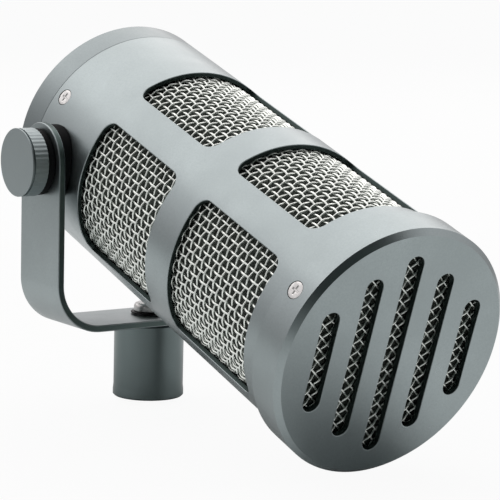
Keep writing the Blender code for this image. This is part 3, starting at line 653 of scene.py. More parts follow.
def cross_wire(length, width):
    """Wire of the recess in a cross-head screw."""
    half, arm = width / 2, length / 2
    corners = [(arm, -half), (arm, half), (half, half), (half, arm), (-half, arm), (-half, half)]
    corners += [(-u, -v) for u, v in corners]
    bm = bmesh.new()
    verts = [bm.verts.new((u, v, 0.0)) for u, v in corners]
    for start, end in zip(verts, verts[1:] + verts[:1]):
        bm.edges.new((start, end))
    return bm


def plate(outline, holes=()):
    """A flat sheet inside a wire, open at the wires of the holes."""
    bm = bmesh.new()
    for wire in (outline, *holes):
        merge_into(bm, wire)
    bmesh.ops.triangle_fill(bm, use_beauty=True, edges=bm.edges[:], normal=(0.0, 0.0, 1.0))
    bmesh.ops.recalc_face_normals(bm, faces=bm.faces)
    return bm


def slice_across(bm, places):
    """Cut all faces across X, so that they can follow a bend."""
    for place in places:
        bmesh.ops.bisect_plane(
            bm, geom=bm.verts[:] + bm.edges[:] + bm.faces[:], dist=MERGE,
            plane_co=(place, 0.0, 0.0), plane_no=(1.0, 0.0, 0.0))


def raise_by(bm, height):
    bmesh.ops.translate(bm, verts=bm.verts, vec=(0.0, 0.0, height))


def thicken(bm, depth):
    """Extrude a flat sheet along Z into a closed solid."""
    grown = bmesh.ops.extrude_face_region(bm, geom=bm.faces[:])["geom"]
    moved = [item for item in grown if isinstance(item, bmesh.types.BMVert)]
    bmesh.ops.translate(bm, verts=moved, vec=(0.0, 0.0, depth))
    bmesh.ops.recalc_face_normals(bm, faces=bm.faces)


def drawn(bm, edges, depth, scale=1.0):
    """Extrude a loop of edges along Z and scale it about the axis. Returns the new loop."""
    grown = bmesh.ops.extrude_edge_only(bm, edges=edges)["geom"]
    verts = [item for item in grown if isinstance(item, bmesh.types.BMVert)]
    bmesh.ops.scale(bm, vec=(scale, scale, 1.0), verts=verts)
    bmesh.ops.translate(bm, verts=verts, vec=(0.0, 0.0, depth))
    return [item for item in grown if isinstance(item, bmesh.types.BMEdge)]


def rim(bm, beyond, within):
    """Open edges whose ends both lie between two radii."""
    return [
        edge for edge in bm.edges
        if len(edge.link_faces) == 1 and all(beyond < vert.co.xy.length < within for vert in edge.verts)]


def on_top(edge):
    """Whether an edge of a piece that lies below z = 0 is on its upper side."""
    return all(vert.co.z > -MERGE for vert in edge.verts)


def soften(bm, width, segments=2, where=None):
    """Round the sharp edges, or those of them that pass a test."""
    bm.normal_update()
    sharp = [
        edge for edge in bm.edges
        if len(edge.link_faces) == 2 and edge.calc_face_angle() > SHARP_ANGLE]
    bmesh.ops.bevel(
        bm, geom=[edge for edge in sharp if where is None or where(edge)], offset=width,
        offset_type="OFFSET", affect="EDGES", segments=segments, profile=0.5, material=-1)


def is_wall(face):
    """Whether a face of a flat sheet stands upright."""
    return abs(face.normal.z) < WALL_SLOPE


def mark_walls(bm):
    """Give the walls of a flat sheet the second material, a darker coat of painted shade."""
    bm.normal_update()
    for face in bm.faces:
        face.material_index = int(is_wall(face))


def link_piece(name, data, materials, body, node):
    """Link mesh or curve data as a piece that rides on a body, in place of a CAD node."""
    obj = bpy.data.objects.new(name, data)
    bpy.context.scene.collection.objects.link(obj)
    for material in materials:
        data.materials.append(material)
    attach(obj, body)
    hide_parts(node)
    return obj


def add_piece(name, bm, materials, body, node, place=Matrix(), even=True):
    """Finish a bmesh that was drawn in millimetres. Even shading keeps flat faces flat at round edges."""
    bmesh.ops.remove_doubles(bm, verts=bm.verts, dist=MERGE)
    bmesh.ops.recalc_face_normals(bm, faces=bm.faces)
    bmesh.ops.transform(bm, matrix=Matrix.Scale(MM, 4) @ place, verts=bm.verts)
    mesh = bpy.data.meshes.new(name)
    bm.to_mesh(mesh)
    bm.free()
    mesh.shade_smooth()
    mesh.set_sharp_from_angle(angle=SHARP_ANGLE)
    obj = link_piece(name, mesh, materials, body, node)
    if even:
        obj.modifiers.new("even_shading", "WEIGHTED_NORMAL").keep_sharp = True
    return obj


def add_barrel_piece(name, bm, materials, node, even=True):
    """Finish a piece that was drawn along the barrel's axis."""
    return add_piece(name, bm, materials, "barrel", node, BARREL_PLACE, even)


def on_pivot(side):
    """Place on the pivot axis with Z outwards: +1 for +X, -1 for -X."""
    return Matrix.Translation((0.0, 0.0, PIVOT_HEIGHT)) @ Matrix.Rotation(side * math.pi / 2, 4, "Y")


def around(radius, angle, height):
    """A point at an angle around Z."""
    return radius * math.cos(angle), radius * math.sin(angle), height


# Barrel pieces

def on_sheet(angle, radius, seam):
    """Where an angle around a tube lies across the flat sheet that it is rolled from."""
    return (angle - seam) % math.tau * radius


def flat_sheet(radius, rear, front, holes):
    """The outer side of a tube, unrolled."""
    width = math.tau * radius
    return plate(rounded_wire(width, front - rear, 0.0, (width / 2, (rear + front) / 2)), holes)


def roll_up(bm, radius, seam):
    """Roll a flat sheet, outer side at z = 0, into a tube with as many facets as a turned piece has."""
    width = math.tau * radius
    slice_across(bm, [width * index / ROUND_STEPS for index in range(1, ROUND_STEPS)])
    for vert in bm.verts:
        angle = seam + vert.co.x / radius
        vert.co = Vector(around(radius + vert.co.z, angle, vert.co.y))


def shade_round(mesh, radius):
    """Shade faces on a cylinder about the barrel's axis as truly round, and those square to it as flat."""
    to_axis = BARREL_PLACE.inverted() @ Matrix.Scale(1.0 / MM, 4)
    turn = BARREL_PLACE.to_3x3()
    axis = turn @ Vector((0.0, 0.0, 1.0))
    local = [to_axis @ vert.co for vert in mesh.vertices]
    normals = [Vector((0.0, 0.0, 0.0)) for _ in mesh.loops]
    for face in mesh.polygons:
        is_square = abs(face.normal.dot(axis)) > SQUARE
        on_cylinder = all(abs(local[index].xy.length - radius) < MERGE for index in face.vertices)
        for loop in face.loop_indices:
            place = local[mesh.loops[loop].vertex_index]
            if is_square:
                normals[loop] = face.normal
            elif on_cylinder:
                normals[loop] = turn @ Vector((place.x, place.y, 0.0)).normalized()
    mesh.normals_split_custom_set(normals)


def screw_holes(radius, seam, height):
    places = [(on_sheet(angle, radius, seam), height) for angle in SCREW_ANGLES]
    return [circle_wire(SCREW_HOLE, HOLE_STEPS, place) for place in places]


def window_wires():
    width = WINDOW_ARC * BARREL_RADIUS
    wires = []
    for angle in WINDOW_ANGLES:
        across = on_sheet(angle, BARREL_RADIUS, BARREL_SEAM)
        for rear in WINDOW_REARS:
            middle = (across, rear + WINDOW_LENGTH / 2)
            wires.append(rounded_wire(width, WINDOW_LENGTH, WINDOW_CORNER, middle))
    return wires


def build_barrel():
    holes = screw_holes(BARREL_RADIUS, BARREL_SEAM, REAR_SCREW_PLACE)
    bm = flat_sheet(BARREL_RADIUS, BARREL_REAR, BARREL_FRONT, window_wires() + holes)
    thicken(bm, -BARREL_WALL)
    width = math.tau * BARREL_RADIUS
    windows_end = WINDOW_REARS[-1] + WINDOW_LENGTH

    def at_seam(face):
        at_start = all(vert.co.x < MERGE for vert in face.verts)
        return at_start or all(vert.co.x > width - MERGE for vert in face.verts)

    def round_window(edge):
        behind = all(vert.co.y < WINDOW_REARS[0] - MERGE for vert in edge.verts)
        in_front = all(vert.co.y > windows_end + MERGE for vert in edge.verts)
        return on_top(edge) and not behind and not in_front

    bmesh.ops.delete(bm, geom=[face for face in bm.faces if at_seam(face)], context="FACES_ONLY")
    soften(bm, WINDOW_EDGE, where=round_window)
    mark_walls(bm)
    roll_up(bm, BARREL_RADIUS, BARREL_SEAM)
    barrel = add_barrel_piece(
        "barrel_shell", bm, (barrel_coat, painted_shade_cut_coat), "barrel_tube", even=False)
    shade_round(barrel.data, BARREL_RADIUS)


def slotted_face():
    """The face of the front cap inside its collar, with the slots' front edges rounded."""
    last = len(SLOT_LENGTHS) - 1
    slots = []
    for index in range(-last, last + 1):
        middle = (index * SLOT_PITCH, 0.0)
        slots.append(rounded_wire(SLOT_WIDTH, SLOT_LENGTHS[abs(index)], SLOT_WIDTH / 2, middle))
    bm = plate(circle_wire(COLLAR_BORE, ROUND_STEPS), slots)
    thicken(bm, -FACE_THICKNESS)
    outer_wall = [
        face for face in bm.faces
        if is_wall(face) and all(vert.co.xy.length > COLLAR_BORE - MERGE for vert in face.verts)]
    bmesh.ops.delete(bm, geom=outer_wall, context="FACES_ONLY")
    soften(bm, SLOT_EDGE, where=on_top)
    mark_walls(bm)
    raise_by(bm, FACE_FRONT)
    return bm


def collar_band(rear, front):
    """The outside of the collar, with the walls of its screw holes."""
    holes = screw_holes(COLLAR_RADIUS, COLLAR_SEAM, FRONT_SCREW_PLACE)
    bm = flat_sheet(COLLAR_RADIUS, rear, front, holes)
    width = math.tau * COLLAR_RADIUS

    def inside(vert):
        return rear + MERGE < vert.co.y < front - MERGE and MERGE < vert.co.x < width - MERGE

    hole_rims = [
        edge for edge in bm.edges
        if len(edge.link_faces) == 1 and all(inside(vert) for vert in edge.verts)]
    drawn(bm, hole_rims, COLLAR_BORE - COLLAR_RADIUS)
    roll_up(bm, COLLAR_RADIUS, COLLAR_SEAM)
    return bm


def build_front_cap():
    rear, front = COLLAR_REAR + COLLAR_EDGE, FACE_FRONT - FACE_CHAMFER
    chamfer = [
        (COLLAR_BORE, FACE_FRONT), (COLLAR_RADIUS - FACE_CHAMFER, FACE_FRONT), (COLLAR_RADIUS, front)]
    inside = [
        (COLLAR_RADIUS, rear), (COLLAR_RADIUS - COLLAR_EDGE, COLLAR_REAR), (COLLAR_BORE, COLLAR_REAR),
        (COLLAR_BORE, FACE_REAR)]
    bm = slotted_face()
    merge_into(bm, turned(chamfer, ROUND_STEPS, closed=False))
    merge_into(bm, turned(inside, ROUND_STEPS, closed=False))
    merge_into(bm, collar_band(rear, front))
    cap = add_barrel_piece("nose_cap", bm, (cap_coat, painted_shade_cut_coat), "front_cap", even=False)
    shade_round(cap.data, COLLAR_RADIUS)


def build_rear_cap():
    corner = (BARREL_RADIUS - REAR_CAP_EDGE, REAR_FACE + REAR_CAP_EDGE)
    inner_face = REAR_FACE + REAR_WALL
    bm = turned([
        (REAR_SLEEVE_RADIUS, REAR_SLEEVE_END), (REAR_SLEEVE_RADIUS, REAR_SEAM), (BARREL_RADIUS, REAR_SEAM),
        *arc(corner, REAR_CAP_EDGE, 0.0, -90.0, CORNER_STEPS), (CONNECTOR_HOLE, REAR_FACE),
        (CONNECTOR_HOLE, inner_face), (REAR_SLEEVE_BORE, inner_face), (REAR_SLEEVE_BORE, REAR_SLEEVE_END)],
        ROUND_STEPS)
    soften(bm, SEAM_EDGE, where=lambda edge: all(vert.co.z < REAR_SEAM + MERGE for vert in edge.verts))
    add_barrel_piece("tail_cap", bm, (rear_coat,), "rear_cap")


def add_wires(name, paths, closed, node):
    """Crimped wires along paths of points, as one curve with round section."""
    curve = bpy.data.curves.new(name, "CURVE")
    curve.dimensions = "3D"
    curve.bevel_depth = WIRE_RADIUS * MM
    curve.bevel_resolution = 1
    curve.use_fill_caps = not closed
    place = Matrix.Scale(MM, 4) @ BARREL_PLACE
    for path in paths:
        spline = curve.splines.new("POLY")
        spline.points.add(len(path) - 1)
        for point, position in zip(spline.points, path):
            point.co = (*(place @ Vector(position)), 1.0)
        spline.use_cyclic_u = closed
    link_piece(name, curve, (wire_steel,), "barrel", node)


def crimp(step):
    """How far a wire stands off the middle of the weave, in or out in turn at each whole step."""
    return WIRE_CRIMP * math.cos(math.pi * step)


def build_woven_sleeve():
    wire_gap = math.tau / WIRES_ALONG
    fine = WIRE_PITCH / POINTS_PER_CROSSING
    heights = [WIRE_START + fine * index for index in range(int((WIRE_END - WIRE_START) / fine) + 1)]
    lengthwise = []
    for wire in range(WIRES_ALONG):
        angle = FIRST_WIRE_ANGLE + wire * wire_gap
        lengthwise.append([
            around(WEAVE_RADIUS + crimp((height - FIRST_HOOP) / WIRE_PITCH + wire), angle, height)
            for height in heights])
    add_wires("sleeve_wires_along", lengthwise, False, "mesh_sleeve")
    steps = [index / POINTS_PER_CROSSING for index in range(WIRES_ALONG * POINTS_PER_CROSSING)]
    hoops = []
    for hoop in range(HOOPS):
        height = FIRST_HOOP + hoop * WIRE_PITCH
        hoops.append([
            around(WEAVE_RADIUS - crimp(step + hoop), FIRST_WIRE_ANGLE + step * wire_gap, height)
            for step in steps])
    add_wires("sleeve_wires_around", hoops, True, "mesh_sleeve")


def disc_wires(turn, side):
    """Wires across the front disc in one direction; side says which of them pass in front."""
    along = Vector((math.cos(turn), math.sin(turn)))
    across = Vector((-along.y, along.x))
    start = Vector(DISC_CROSSING)
    rows = math.ceil(2 * DISC_RADIUS / WIRE_PITCH)
    paths = []
    for row in range(-rows, rows + 1):
        offset = start.dot(across) + row * WIRE_PITCH
        if abs(offset) < DISC_RADIUS - WIRE_PITCH / 2:
            reach = math.sqrt(DISC_RADIUS ** 2 - offset ** 2)
            points = math.ceil(2 * reach / WIRE_PITCH * POINTS_PER_CROSSING)
            path = []
            for index in range(points + 1):
                run = reach * (2 * index / points - 1)
                place = along * run + across * offset
                step = (run - start.dot(along)) / WIRE_PITCH + row
                path.append((place.x, place.y, DISC_MIDDLE + side * crimp(step)))
            paths.append(path)
    return paths


def build_woven_disc():
    add_wires("disc_wires_rising", disc_wires(DISC_TURN, -1), False, "front_mesh")
    add_wires("disc_wires_falling", disc_wires(DISC_TURN + math.pi / 2, 1), False, "front_mesh")


def sink_skin(bm):
    """Let the skin of the foam sink a little, here and there, below the room that it has."""
    for vert in bm.verts:
        hollow = FOAM_UNEVEN * (0.5 + 0.5 * noise.noise(vert.co * FOAM_WAVES))
        if vert.co.xy.length > FOAM_SHOULDER:
            vert.co.xy *= 1.0 - hollow / vert.co.xy.length
        vert.co.z -= hollow * math.copysign(FOAM_END_SHARE, vert.co.z)


def foam_corner(radius, height, start):
    """A quarter round in a foam profile, from an angle in degrees to 90 less."""
    return arc((radius, height), FOAM_ROUNDING, start, start - 90.0, FOAM_CORNER_STEPS)


def add_foam(name, bm, middle, node):
    sink_skin(bm)
    raise_by(bm, middle)
    foam = add_barrel_piece(name, bm, (black_foam,), node, even=False)


def build_foam_lining():
    end = (FOAM_FRONT - FOAM_REAR) / 2 - FOAM_ROUNDING
    inner = FOAM_BORE + FOAM_ROUNDING
    outside = [(FOAM_RADIUS, end - 2 * end * index / LINING_STEPS) for index in range(1, LINING_STEPS)]
    profile = [
        *foam_corner(inner, end, 180.0), *foam_corner(FOAM_SHOULDER, end, 90.0), *outside,
        *foam_corner(FOAM_SHOULDER, -end, 0.0), *foam_corner(inner, -end, -90.0)]
    add_foam("foam_lining", turned(profile, FOAM_STEPS), (FOAM_REAR + FOAM_FRONT) / 2, "foam_liner")


def build_foam_pad():
    half = (PAD_FRONT - PAD_REAR) / 2
    end = half - FOAM_ROUNDING
    radii = [FOAM_SHOULDER * index / PAD_STEPS for index in range(PAD_STEPS)]
    profile = [
        *[(radius, half) for radius in radii], *foam_corner(FOAM_SHOULDER, end, 90.0),
        *foam_corner(FOAM_SHOULDER, -end, 0.0), *[(radius, -half) for radius in reversed(radii)]]
    bm = turned(profile, FOAM_STEPS, closed=False)
    add_foam("foam_pad", bm, (PAD_FRONT + PAD_REAR) / 2, "front_foam")


def screw(shank_length):
    """A countersunk cross-head screw along Z, with the top of its head at z = 0."""
    bm = plate(circle_wire(SCREW_RADIUS, HOLE_STEPS), [cross_wire(CROSS_LENGTH, CROSS_WIDTH)])
    recess = rim(bm, 0.0, SCREW_RADIUS - CROSS_WIDTH)
    head = rim(bm, SCREW_RADIUS - CROSS_WIDTH, math.inf)
    floor = drawn(bm, recess, -CROSS_DEPTH, CROSS_TAPER)
    bmesh.ops.contextual_create(bm, geom=floor)
    shank = drawn(bm, head, -SCREW_HEAD_DEPTH, SCREW_SHANK_RADIUS / SCREW_RADIUS)
    end = drawn(bm, shank, SCREW_HEAD_DEPTH - shank_length)
    bmesh.ops.contextual_create(bm, geom=end)
    bmesh.ops.recalc_face_normals(bm, faces=bm.faces)
    soften(bm, SCREW_EDGE, where=on_top)
    return bm


def build_screws():
    sets = {
        "front_screw": (COLLAR_RADIUS, FRONT_SCREW_PLACE, FRONT_SCREW_LENGTH),
        "rear_screw": (BARREL_RADIUS, REAR_SCREW_PLACE, REAR_SCREW_LENGTH)}
    for name, (surface, height, length) in sets.items():
        for number, angle in enumerate(SCREW_ANGLES, start=1):
            place = (
                BARREL_PLACE @ Matrix.Translation((0.0, 0.0, height)) @ Matrix.Rotation(angle, 4, "Z")
                @ Matrix.Rotation(math.pi / 2, 4, "Y")
                @ Matrix.Translation((0.0, 0.0, surface - SCREW_SINK)))
            add_piece(
                f"{name}_{number}_cross_head", screw(length), (screw_steel,), "barrel",
                f"{name}_{number}", place)


def build_connector_ring():
    bm = turned([
        (SHELL_RADIUS, INSERT_FRONT), (SHELL_RADIUS, FLANGE_FRONT), (FLANGE_RADIUS, FLANGE_FRONT),
        (FLANGE_RADIUS, FLANGE_REAR), (SHELL_RADIUS, FLANGE_REAR), (SHELL_RADIUS, SHELL_REAR),
        (SHELL_BORE, SHELL_REAR), (SHELL_BORE, INSERT_FRONT)], SMALL_STEPS)
    soften(bm, SHELL_EDGE, segments=3)
    add_barrel_piece("connector_ring", bm, (screw_steel,), "connector_shell")


def build_connector_block():
    places = [around(PIN_CIRCLE, angle, 0.0) for angle in PIN_ANGLES]
    holes = [circle_wire(PIN_RADIUS + PIN_PLAY, HOLE_STEPS, (x, y)) for x, y, _ in places]
    bm = plate(circle_wire(INSERT_RADIUS, SMALL_STEPS), holes)
    thicken(bm, INSERT_FRONT - INSERT_REAR)
    soften(bm, INSERT_EDGE)
    raise_by(bm, INSERT_REAR)
    add_barrel_piece("connector_block", bm, (black_nylon,), "connector_insert")


def build_contact_pins():
    tip = arc((0.0, PIN_TIP + PIN_RADIUS), PIN_RADIUS, 0.0, -90.0, CORNER_STEPS)
    profile = [(0.0, PIN_END), (PIN_RADIUS, PIN_END), *tip[:-1], (0.0, PIN_TIP)]
    for number, angle in enumerate(PIN_ANGLES, start=1):
        bm = turned(profile, HOLE_STEPS, closed=False)
        bmesh.ops.translate(bm, verts=bm.verts, vec=around(PIN_CIRCLE, angle, 0.0))
        add_barrel_piece(f"contact_pin_{number}", bm, (gold_plate,), f"connector_pin_{number}")


# Pivot pieces

def ring(radius, bore, bottom, top, edge):
    """A flat ring with rounded edges."""
    bm = turned([(radius, top), (radius, bottom), (bore, bottom), (bore, top)], RING_STEPS)
    soften(bm, edge, segments=3)
    return bm


def build_spacer(name, side):
    """The disc that fills the room between an arm and the round barrel."""
    _, outer = span("pivot_spacer_right", X)
    bm = ring(SPACER_RADIUS, STUD_HOLE, SPACER_BLANK, outer, SPACER_EDGE)
    # The barrel curves away along its own up direction, seen here on the pivot's axes.
    to_pivot = on_pivot(side).inverted().to_3x3()
    up = (to_pivot @ BARREL_PLACE.to_3x3() @ Vector((0.0, 1.0, 0.0))).normalized()
    for vert in bm.verts:
        if vert.co.z < outer - SPACER_FLAT:
            vert.co.z = math.sqrt(SADDLE_RADIUS ** 2 - vert.co.dot(up) ** 2)
    add_piece(
        f"saddle_disc_{name}", bm, (black_nylon,), "barrel", f"pivot_spacer_{name}",
        on_pivot(side))


def build_arm_washer(name, side):
    inner, outer = span("arm_washer_right", X)
    bm = ring(WASHER_RADIUS, STUD_HOLE, inner, outer, WASHER_EDGE)
    add_piece(
        f"clamp_washer_{name}", bm, (black_nylon,), "yoke", f"arm_washer_{name}", on_pivot(side))


def knurl(bm, bottom, top):
    """Press ridges along the axis into the rim between two heights."""
    for vert in bm.verts:
        on_rim = vert.co.xy.length > KNOB_RADIUS - KNOB_EDGE and bottom < vert.co.z < top
        if on_rim:
            angle = math.atan2(vert.co.y, vert.co.x)
            press = KNURL_DEPTH * (0.5 - 0.5 * math.cos(KNURL_RIDGES * angle))
            vert.co.xy *= 1.0 - press / KNOB_RADIUS


def build_knob(name, side):
    inner, outer = span("knob_right", X)
    groove_top = outer - KNOB_LIP
    groove_bottom = groove_top - KNOB_GROOVE
    groove_radius = KNOB_RADIUS - KNOB_GROOVE_DEPTH
    edge = arc((KNOB_RADIUS - KNOB_EDGE, outer - KNOB_EDGE), KNOB_EDGE, 90.0, 0.0, KNOB_EDGE_STEPS)
    bm = turned([
        (0.0, outer), *edge, (KNOB_RADIUS, groove_top), (groove_radius, groove_top),
        (groove_radius, groove_bottom), (KNOB_RADIUS, groove_bottom), (KNOB_RADIUS, inner), (0.0, inner)],
        KNURL_RIDGES * POINTS_PER_RIDGE, closed=False)
    knurl(bm, inner - MERGE, groove_bottom + MERGE)
    knob = f"knob_{name}"
    add_piece(f"knurled_{knob}", bm, (knob_coat,), knob, knob, on_pivot(side))


# Yoke and stand pieces

def bend_up(bm, half_base, bend, bottom):
    """Bend a flat strip, drawn along X with its outer side at z = 0, up into a U."""
    for vert in bm.verts:
        side = math.copysign(1.0, vert.co.x)
        run, depth = abs(vert.co.x), vert.co.z
        inner = STRIP_BEND_RADIUS - depth
        if run <= half_base:
            x, z = run, depth
        elif run <= half_base + bend:
            angle = (run - half_base) / STRIP_BEND_RADIUS
            x = half_base + inner * math.sin(angle)
            z = STRIP_BEND_RADIUS - inner * math.cos(angle)
        else:
            x = half_base + inner
            z = STRIP_BEND_RADIUS + run - half_base - bend
        vert.co = Vector((side * x, vert.co.y, bottom + z))


def build_yoke():
    _, arm_outer = span("yoke_strip", X)
    bottom, _ = span("yoke_strip", Z)
    half_base = arm_outer - STRIP_BEND_RADIUS
    bend = STRIP_BEND_RADIUS * math.pi / 2
    to_pivot = half_base + bend + PIVOT_HEIGHT - bottom - STRIP_BEND_RADIUS
    outline = rounded_wire(2 * to_pivot + STRIP_WIDTH, STRIP_WIDTH, STRIP_WIDTH / 2)
    holes = [circle_wire(STUD_HOLE, HOLE_STEPS, (place, 0.0)) for place in (-to_pivot, 0.0, to_pivot)]
    bends = [half_base + bend * index / BEND_STEPS for index in range(BEND_STEPS + 1)]
    bm = plate(outline, holes)
    thicken(bm, STRIP_THICKNESS)
    soften(
        bm, STRIP_EDGE, segments=3,
        where=lambda edge: abs(edge.verts[0].co.z - edge.verts[1].co.z) < MERGE)
    mark_walls(bm)
    slice_across(bm, bends + [-place for place in bends])
    bend_up(bm, half_base, bend, bottom)
    # the strip's edges and hole walls take the coat of painted shade
    add_piece("yoke_band", bm, (yoke_coat, painted_shade_edge_coat), "yoke", "yoke_strip")


def thread(radius, bottom, top):
    """A screw thread inside a bore, as a ridge that winds up it."""
    turns = int((top - bottom) / THREAD_PITCH) - 1
    crest = (radius - THREAD_DEPTH, bottom + THREAD_PITCH / 2)
    profile = [(radius, bottom), crest, (radius, bottom + THREAD_PITCH)]
    bm = bmesh.new()
    verts = [bm.verts.new((place, 0.0, height)) for place, height in profile]
    for start, end in zip(verts, verts[1:]):
        bm.edges.new((start, end))
    bmesh.ops.spin(
        bm, geom=bm.verts[:] + bm.edges[:], cent=(0, 0, 0), axis=(0, 0, 1),
        dvec=(0.0, 0.0, THREAD_PITCH / THREAD_STEPS), angle=turns * math.tau,
        steps=turns * THREAD_STEPS, use_merge=False, use_duplicate=False)
    return bm


def build_stand_socket():
    _, top = span("stand_socket", Z)
    bm = turned([
        (SOCKET_WAIST - SOCKET_EDGE, top), (SOCKET_WAIST, top - SOCKET_EDGE),
        (SOCKET_WAIST, SOCKET_LIP + SOCKET_LIP_TAPER), (SOCKET_RADIUS, SOCKET_LIP),
        (SOCKET_RADIUS, SOCKET_EDGE), (SOCKET_RADIUS - SOCKET_EDGE, 0.0),
        (SOCKET_BORE + SOCKET_EDGE, 0.0), (SOCKET_BORE, SOCKET_EDGE), (SOCKET_BORE, SOCKET_BORE_DEPTH),
        (BOLT_HOLE, SOCKET_BORE_DEPTH), (BOLT_HOLE, top)], RING_STEPS)
    merge_into(bm, thread(SOCKET_BORE, SOCKET_EDGE, SOCKET_BORE_DEPTH))
    add_piece("stand_stem", bm, (socket_coat,), "stand", "stand_socket")


def build_bolt_washer():
    bottom, top = span("socket_washer", Z)
    _, radius = span("socket_washer", X)
    bm = ring(radius, BOLT_WASHER_HOLE, bottom, top, BOLT_WASHER_EDGE)
    add_piece("bolt_washer", bm, (black_oxide,), "stand", "socket_washer")


def build_hex_bolt():
    """The bolt is drawn below z = 0 and then raised to the top of its head."""
    _, washer_top = span("socket_washer", Z)
    end, head_top = span("socket_bolt", Z)
    head_bottom = washer_top + CLEARANCE
    bm = plate(circle_wire(BOLT_HEAD_RADIUS, SMALL_STEPS), [circle_wire(BOLT_HEX_RADIUS, BOLT_HEX_SIDES)])
    between = (BOLT_HEX_RADIUS + BOLT_HEAD_RADIUS) / 2
    hexagon = rim(bm, 0.0, between)
    head = rim(bm, between, math.inf)
    floor = drawn(bm, hexagon, -BOLT_HEX_DEPTH)
    bmesh.ops.contextual_create(bm, geom=floor)
    seat = drawn(bm, head, head_bottom - head_top)
    neck = drawn(bm, seat, 0.0, BOLT_RADIUS / BOLT_HEAD_RADIUS)
    tail = drawn(bm, neck, end - head_bottom)
    bmesh.ops.contextual_create(bm, geom=tail)
    bmesh.ops.recalc_face_normals(bm, faces=bm.faces)

    def round_head(edge):
        return on_top(edge) and all(vert.co.xy.length > BOLT_HEAD_RADIUS - MERGE for vert in edge.verts)

    soften(bm, BOLT_HEAD_ROUNDING, segments=5, where=round_head)
    raise_by(bm, head_top)
    add_piece("hex_bolt", bm, (screw_steel,), "stand", "socket_bolt")


# CAD nodes that are shown as they are, inside the barrel

CARRIED_OVER = {
    "carrier_tube": black_nylon, "shock_ring_front": black_rubber, "shock_ring_rear": black_rubber,
    "capsule_case": black_oxide, "capsule_grille": brass, "terminal_board": green_board,
    "transformer": black_oxide, "pivot_bush_left": brass, "pivot_bush_right": brass,
    "knob_stud_left": screw_steel, "knob_stud_right": screw_steel}


def finish_carried_over():
    for name, material in CARRIED_OVER.items():
        slots = frame["nodes"][name].data.materials
        slots.clear()
        slots.append(material)


# Studio

def build_floor():
    bm = bmesh.new()
    bmesh.ops.create_grid(bm, x_segments=1, y_segments=1, size=FLOOR_SIZE / 2)
    raise_by(bm, -FLOOR_GAP)
    mesh = bpy.data.meshes.new("floor")
    bm.to_mesh(mesh)
    bm.free()
    floor = bpy.data.objects.new("floor", mesh)
    bpy.context.scene.collection.objects.link(floor)
    mesh.materials.append(floor_material())


def seen_share(tree, rays):
    """1 where the camera looks at a surface itself, 0 where its light or its reflection is meant."""
    return math_value(tree, "MAXIMUM", rays["Is Camera Ray"], rays["Is Transmission Ray"])


def floor_glow(tree, rays, distance):
    """Share of plain white in the floor: for the camera, and in metal outside the painted shade under the
    microphone.
    """
    # painted shade: in metal, the floor's white glow is left out under the barrel and round the stand's
    # foot
    under = vector_value(tree, "LENGTH", object_place(tree, SHADE_PLACE, stretch=SHADE_STRETCH))
    away = remap(tree, under, SHADE_REACH, (0.0, FLOOR_GLOW_IN_METAL))
    away = math_value(tree, "MULTIPLY", away, remap(tree, distance, FOOT_SHADE, NONE_TO_FULL))
    in_metal = math_value(tree, "MULTIPLY", rays["Is Glossy Ray"], away)
    to_camera = math_value(tree, "MULTIPLY", seen_share(tree, rays), FLOOR_GLOW)
    return math_value(tree, "ADD", to_camera, in_metal)


def floor_material():
    """Pale card that the camera sees as near white, with the shadow of the microphone on it."""
    material, tree, card = new_material("floor_card", 0.0)
    place = object_place(tree)
    rays = new_node(tree, "ShaderNodeLightPath").outputs
    distance = vector_value(tree, "LENGTH", place)
    aside = vector_value(tree, "DOT_PRODUCT", place, FLOOR_UNLIT_SIDE)
    far, unlit = [
        math_value(tree, "MULTIPLY", remap(tree, value, reach, NONE_TO_FULL), rays["Is Glossy Ray"])
        for value, reach in ((distance, FLOOR_FADE), (aside, FLOOR_UNLIT))]

    def in_metal(colour):
        """The same colour for the camera, but painted dimmer far away and dark to one side in metal."""
        return mix_colours(tree, unlit, mix_colours(tree, far, colour, DIM), UNLIT_CARD)

    fibre = noise_value(tree, place, CARD_FIBRE, detail=3.0)
    feed(tree, card["Base Color"], in_metal(mix_colours(tree, fibre, CARD_DARK, CARD_LIGHT)))
    card["Roughness"].default_value = CARD_ROUGHNESS
    card["Specular IOR Level"].default_value = 0.0
    glow = new_node(tree, "ShaderNodeEmission")
    feed(tree, glow.inputs["Color"], in_metal(WHITE))
    mix = new_node(tree, "ShaderNodeMixShader")
    feed(tree, mix.inputs["Fac"], floor_glow(tree, rays, distance))
    tree.links.new(tree.nodes["Principled BSDF"].outputs["BSDF"], mix.inputs[1])
    tree.links.new(glow.outputs["Emission"], mix.inputs[2])
    tree.links.new(mix.outputs["Shader"], tree.nodes["Material Output"].inputs["Surface"])
    return material


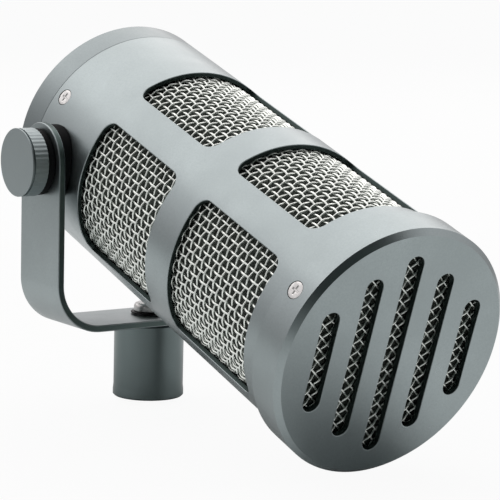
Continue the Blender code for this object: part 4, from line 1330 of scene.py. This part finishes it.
def build_world():
    """White backdrop; as a light and in metal it is dimmer near the horizon and dark on one side."""
    world = bpy.data.worlds.new("studio")
    bpy.context.scene.world = world
    world.use_nodes = True
    tree = world.node_tree
    direction = new_node(tree, "ShaderNodeTexCoord").outputs["Generated"]
    split = new_node(tree, "ShaderNodeSeparateXYZ")
    tree.links.new(direction, split.inputs["Vector"])
    rays = new_node(tree, "ShaderNodeLightPath").outputs
    seen = seen_share(tree, rays)
    unseen = math_value(tree, "SUBTRACT", 1.0, seen)
    low = remap(tree, split.outputs["Z"], (0.0, HORIZON_HEIGHT), (HORIZON_LOSS, 0.0))
    aside = vector_value(tree, "DOT_PRODUCT", direction, UNLIT_SIDE)
    unlit = remap(tree, aside, UNLIT_SPREAD, NONE_TO_FULL)
    backdrop = mix_colours(tree, seen, mix_colours(tree, rays["Is Glossy Ray"], FILL, SKY), WHITE)
    backdrop = mix_colours(tree, math_value(tree, "MULTIPLY", low, unseen), backdrop, BLACK)
    backdrop = mix_colours(tree, math_value(tree, "MULTIPLY", unlit, unseen), backdrop, UNLIT)
    tree.links.new(backdrop, tree.nodes["Background"].inputs["Color"])


def build_softbox():
    light = bpy.data.lights.new("softbox", "AREA")
    light.shape = "RECTANGLE"
    light.size, light.size_y = SOFTBOX_SIZE
    light.color = SOFTBOX_COLOUR
    light.energy = SOFTBOX_POWER
    lamp = bpy.data.objects.new("softbox", light)
    bpy.context.scene.collection.objects.link(lamp)
    lamp.location = SOFTBOX_PLACE
    lamp.rotation_euler = (SUBJECT - SOFTBOX_PLACE).to_track_quat("-Z", "Y").to_euler()


def build_camera():
    data = bpy.data.cameras.new("camera")
    data.sensor_width = SENSOR_WIDTH
    data.lens = CAMERA_LENS
    data.clip_start = CLIP_START
    camera = bpy.data.objects.new("camera", data)
    bpy.context.scene.collection.objects.link(camera)
    camera.location = CAMERA_PLACE * MM
    look = (CAMERA_AIM - CAMERA_PLACE).to_track_quat("-Z", "Y")
    camera.rotation_mode = "QUATERNION"
    camera.rotation_quaternion = look @ Quaternion((0.0, 0.0, 1.0), CAMERA_ROLL)
    bpy.context.scene.camera = camera


def build_microphone():
    build_barrel()
    build_front_cap()
    build_rear_cap()
    build_woven_sleeve()
    build_woven_disc()
    build_foam_lining()
    build_foam_pad()
    build_screws()
    build_connector_ring()
    build_connector_block()
    build_contact_pins()
    for name, side in (("left", -1), ("right", 1)):
        build_spacer(name, side)
        build_arm_washer(name, side)
        build_knob(name, side)
    build_yoke()
    build_stand_socket()
    build_bolt_washer()
    build_hex_bolt()
    finish_carried_over()


build_microphone()
build_floor()
build_world()
build_softbox()
build_camera()
bpy.context.scene.view_settings.view_transform = "Standard"
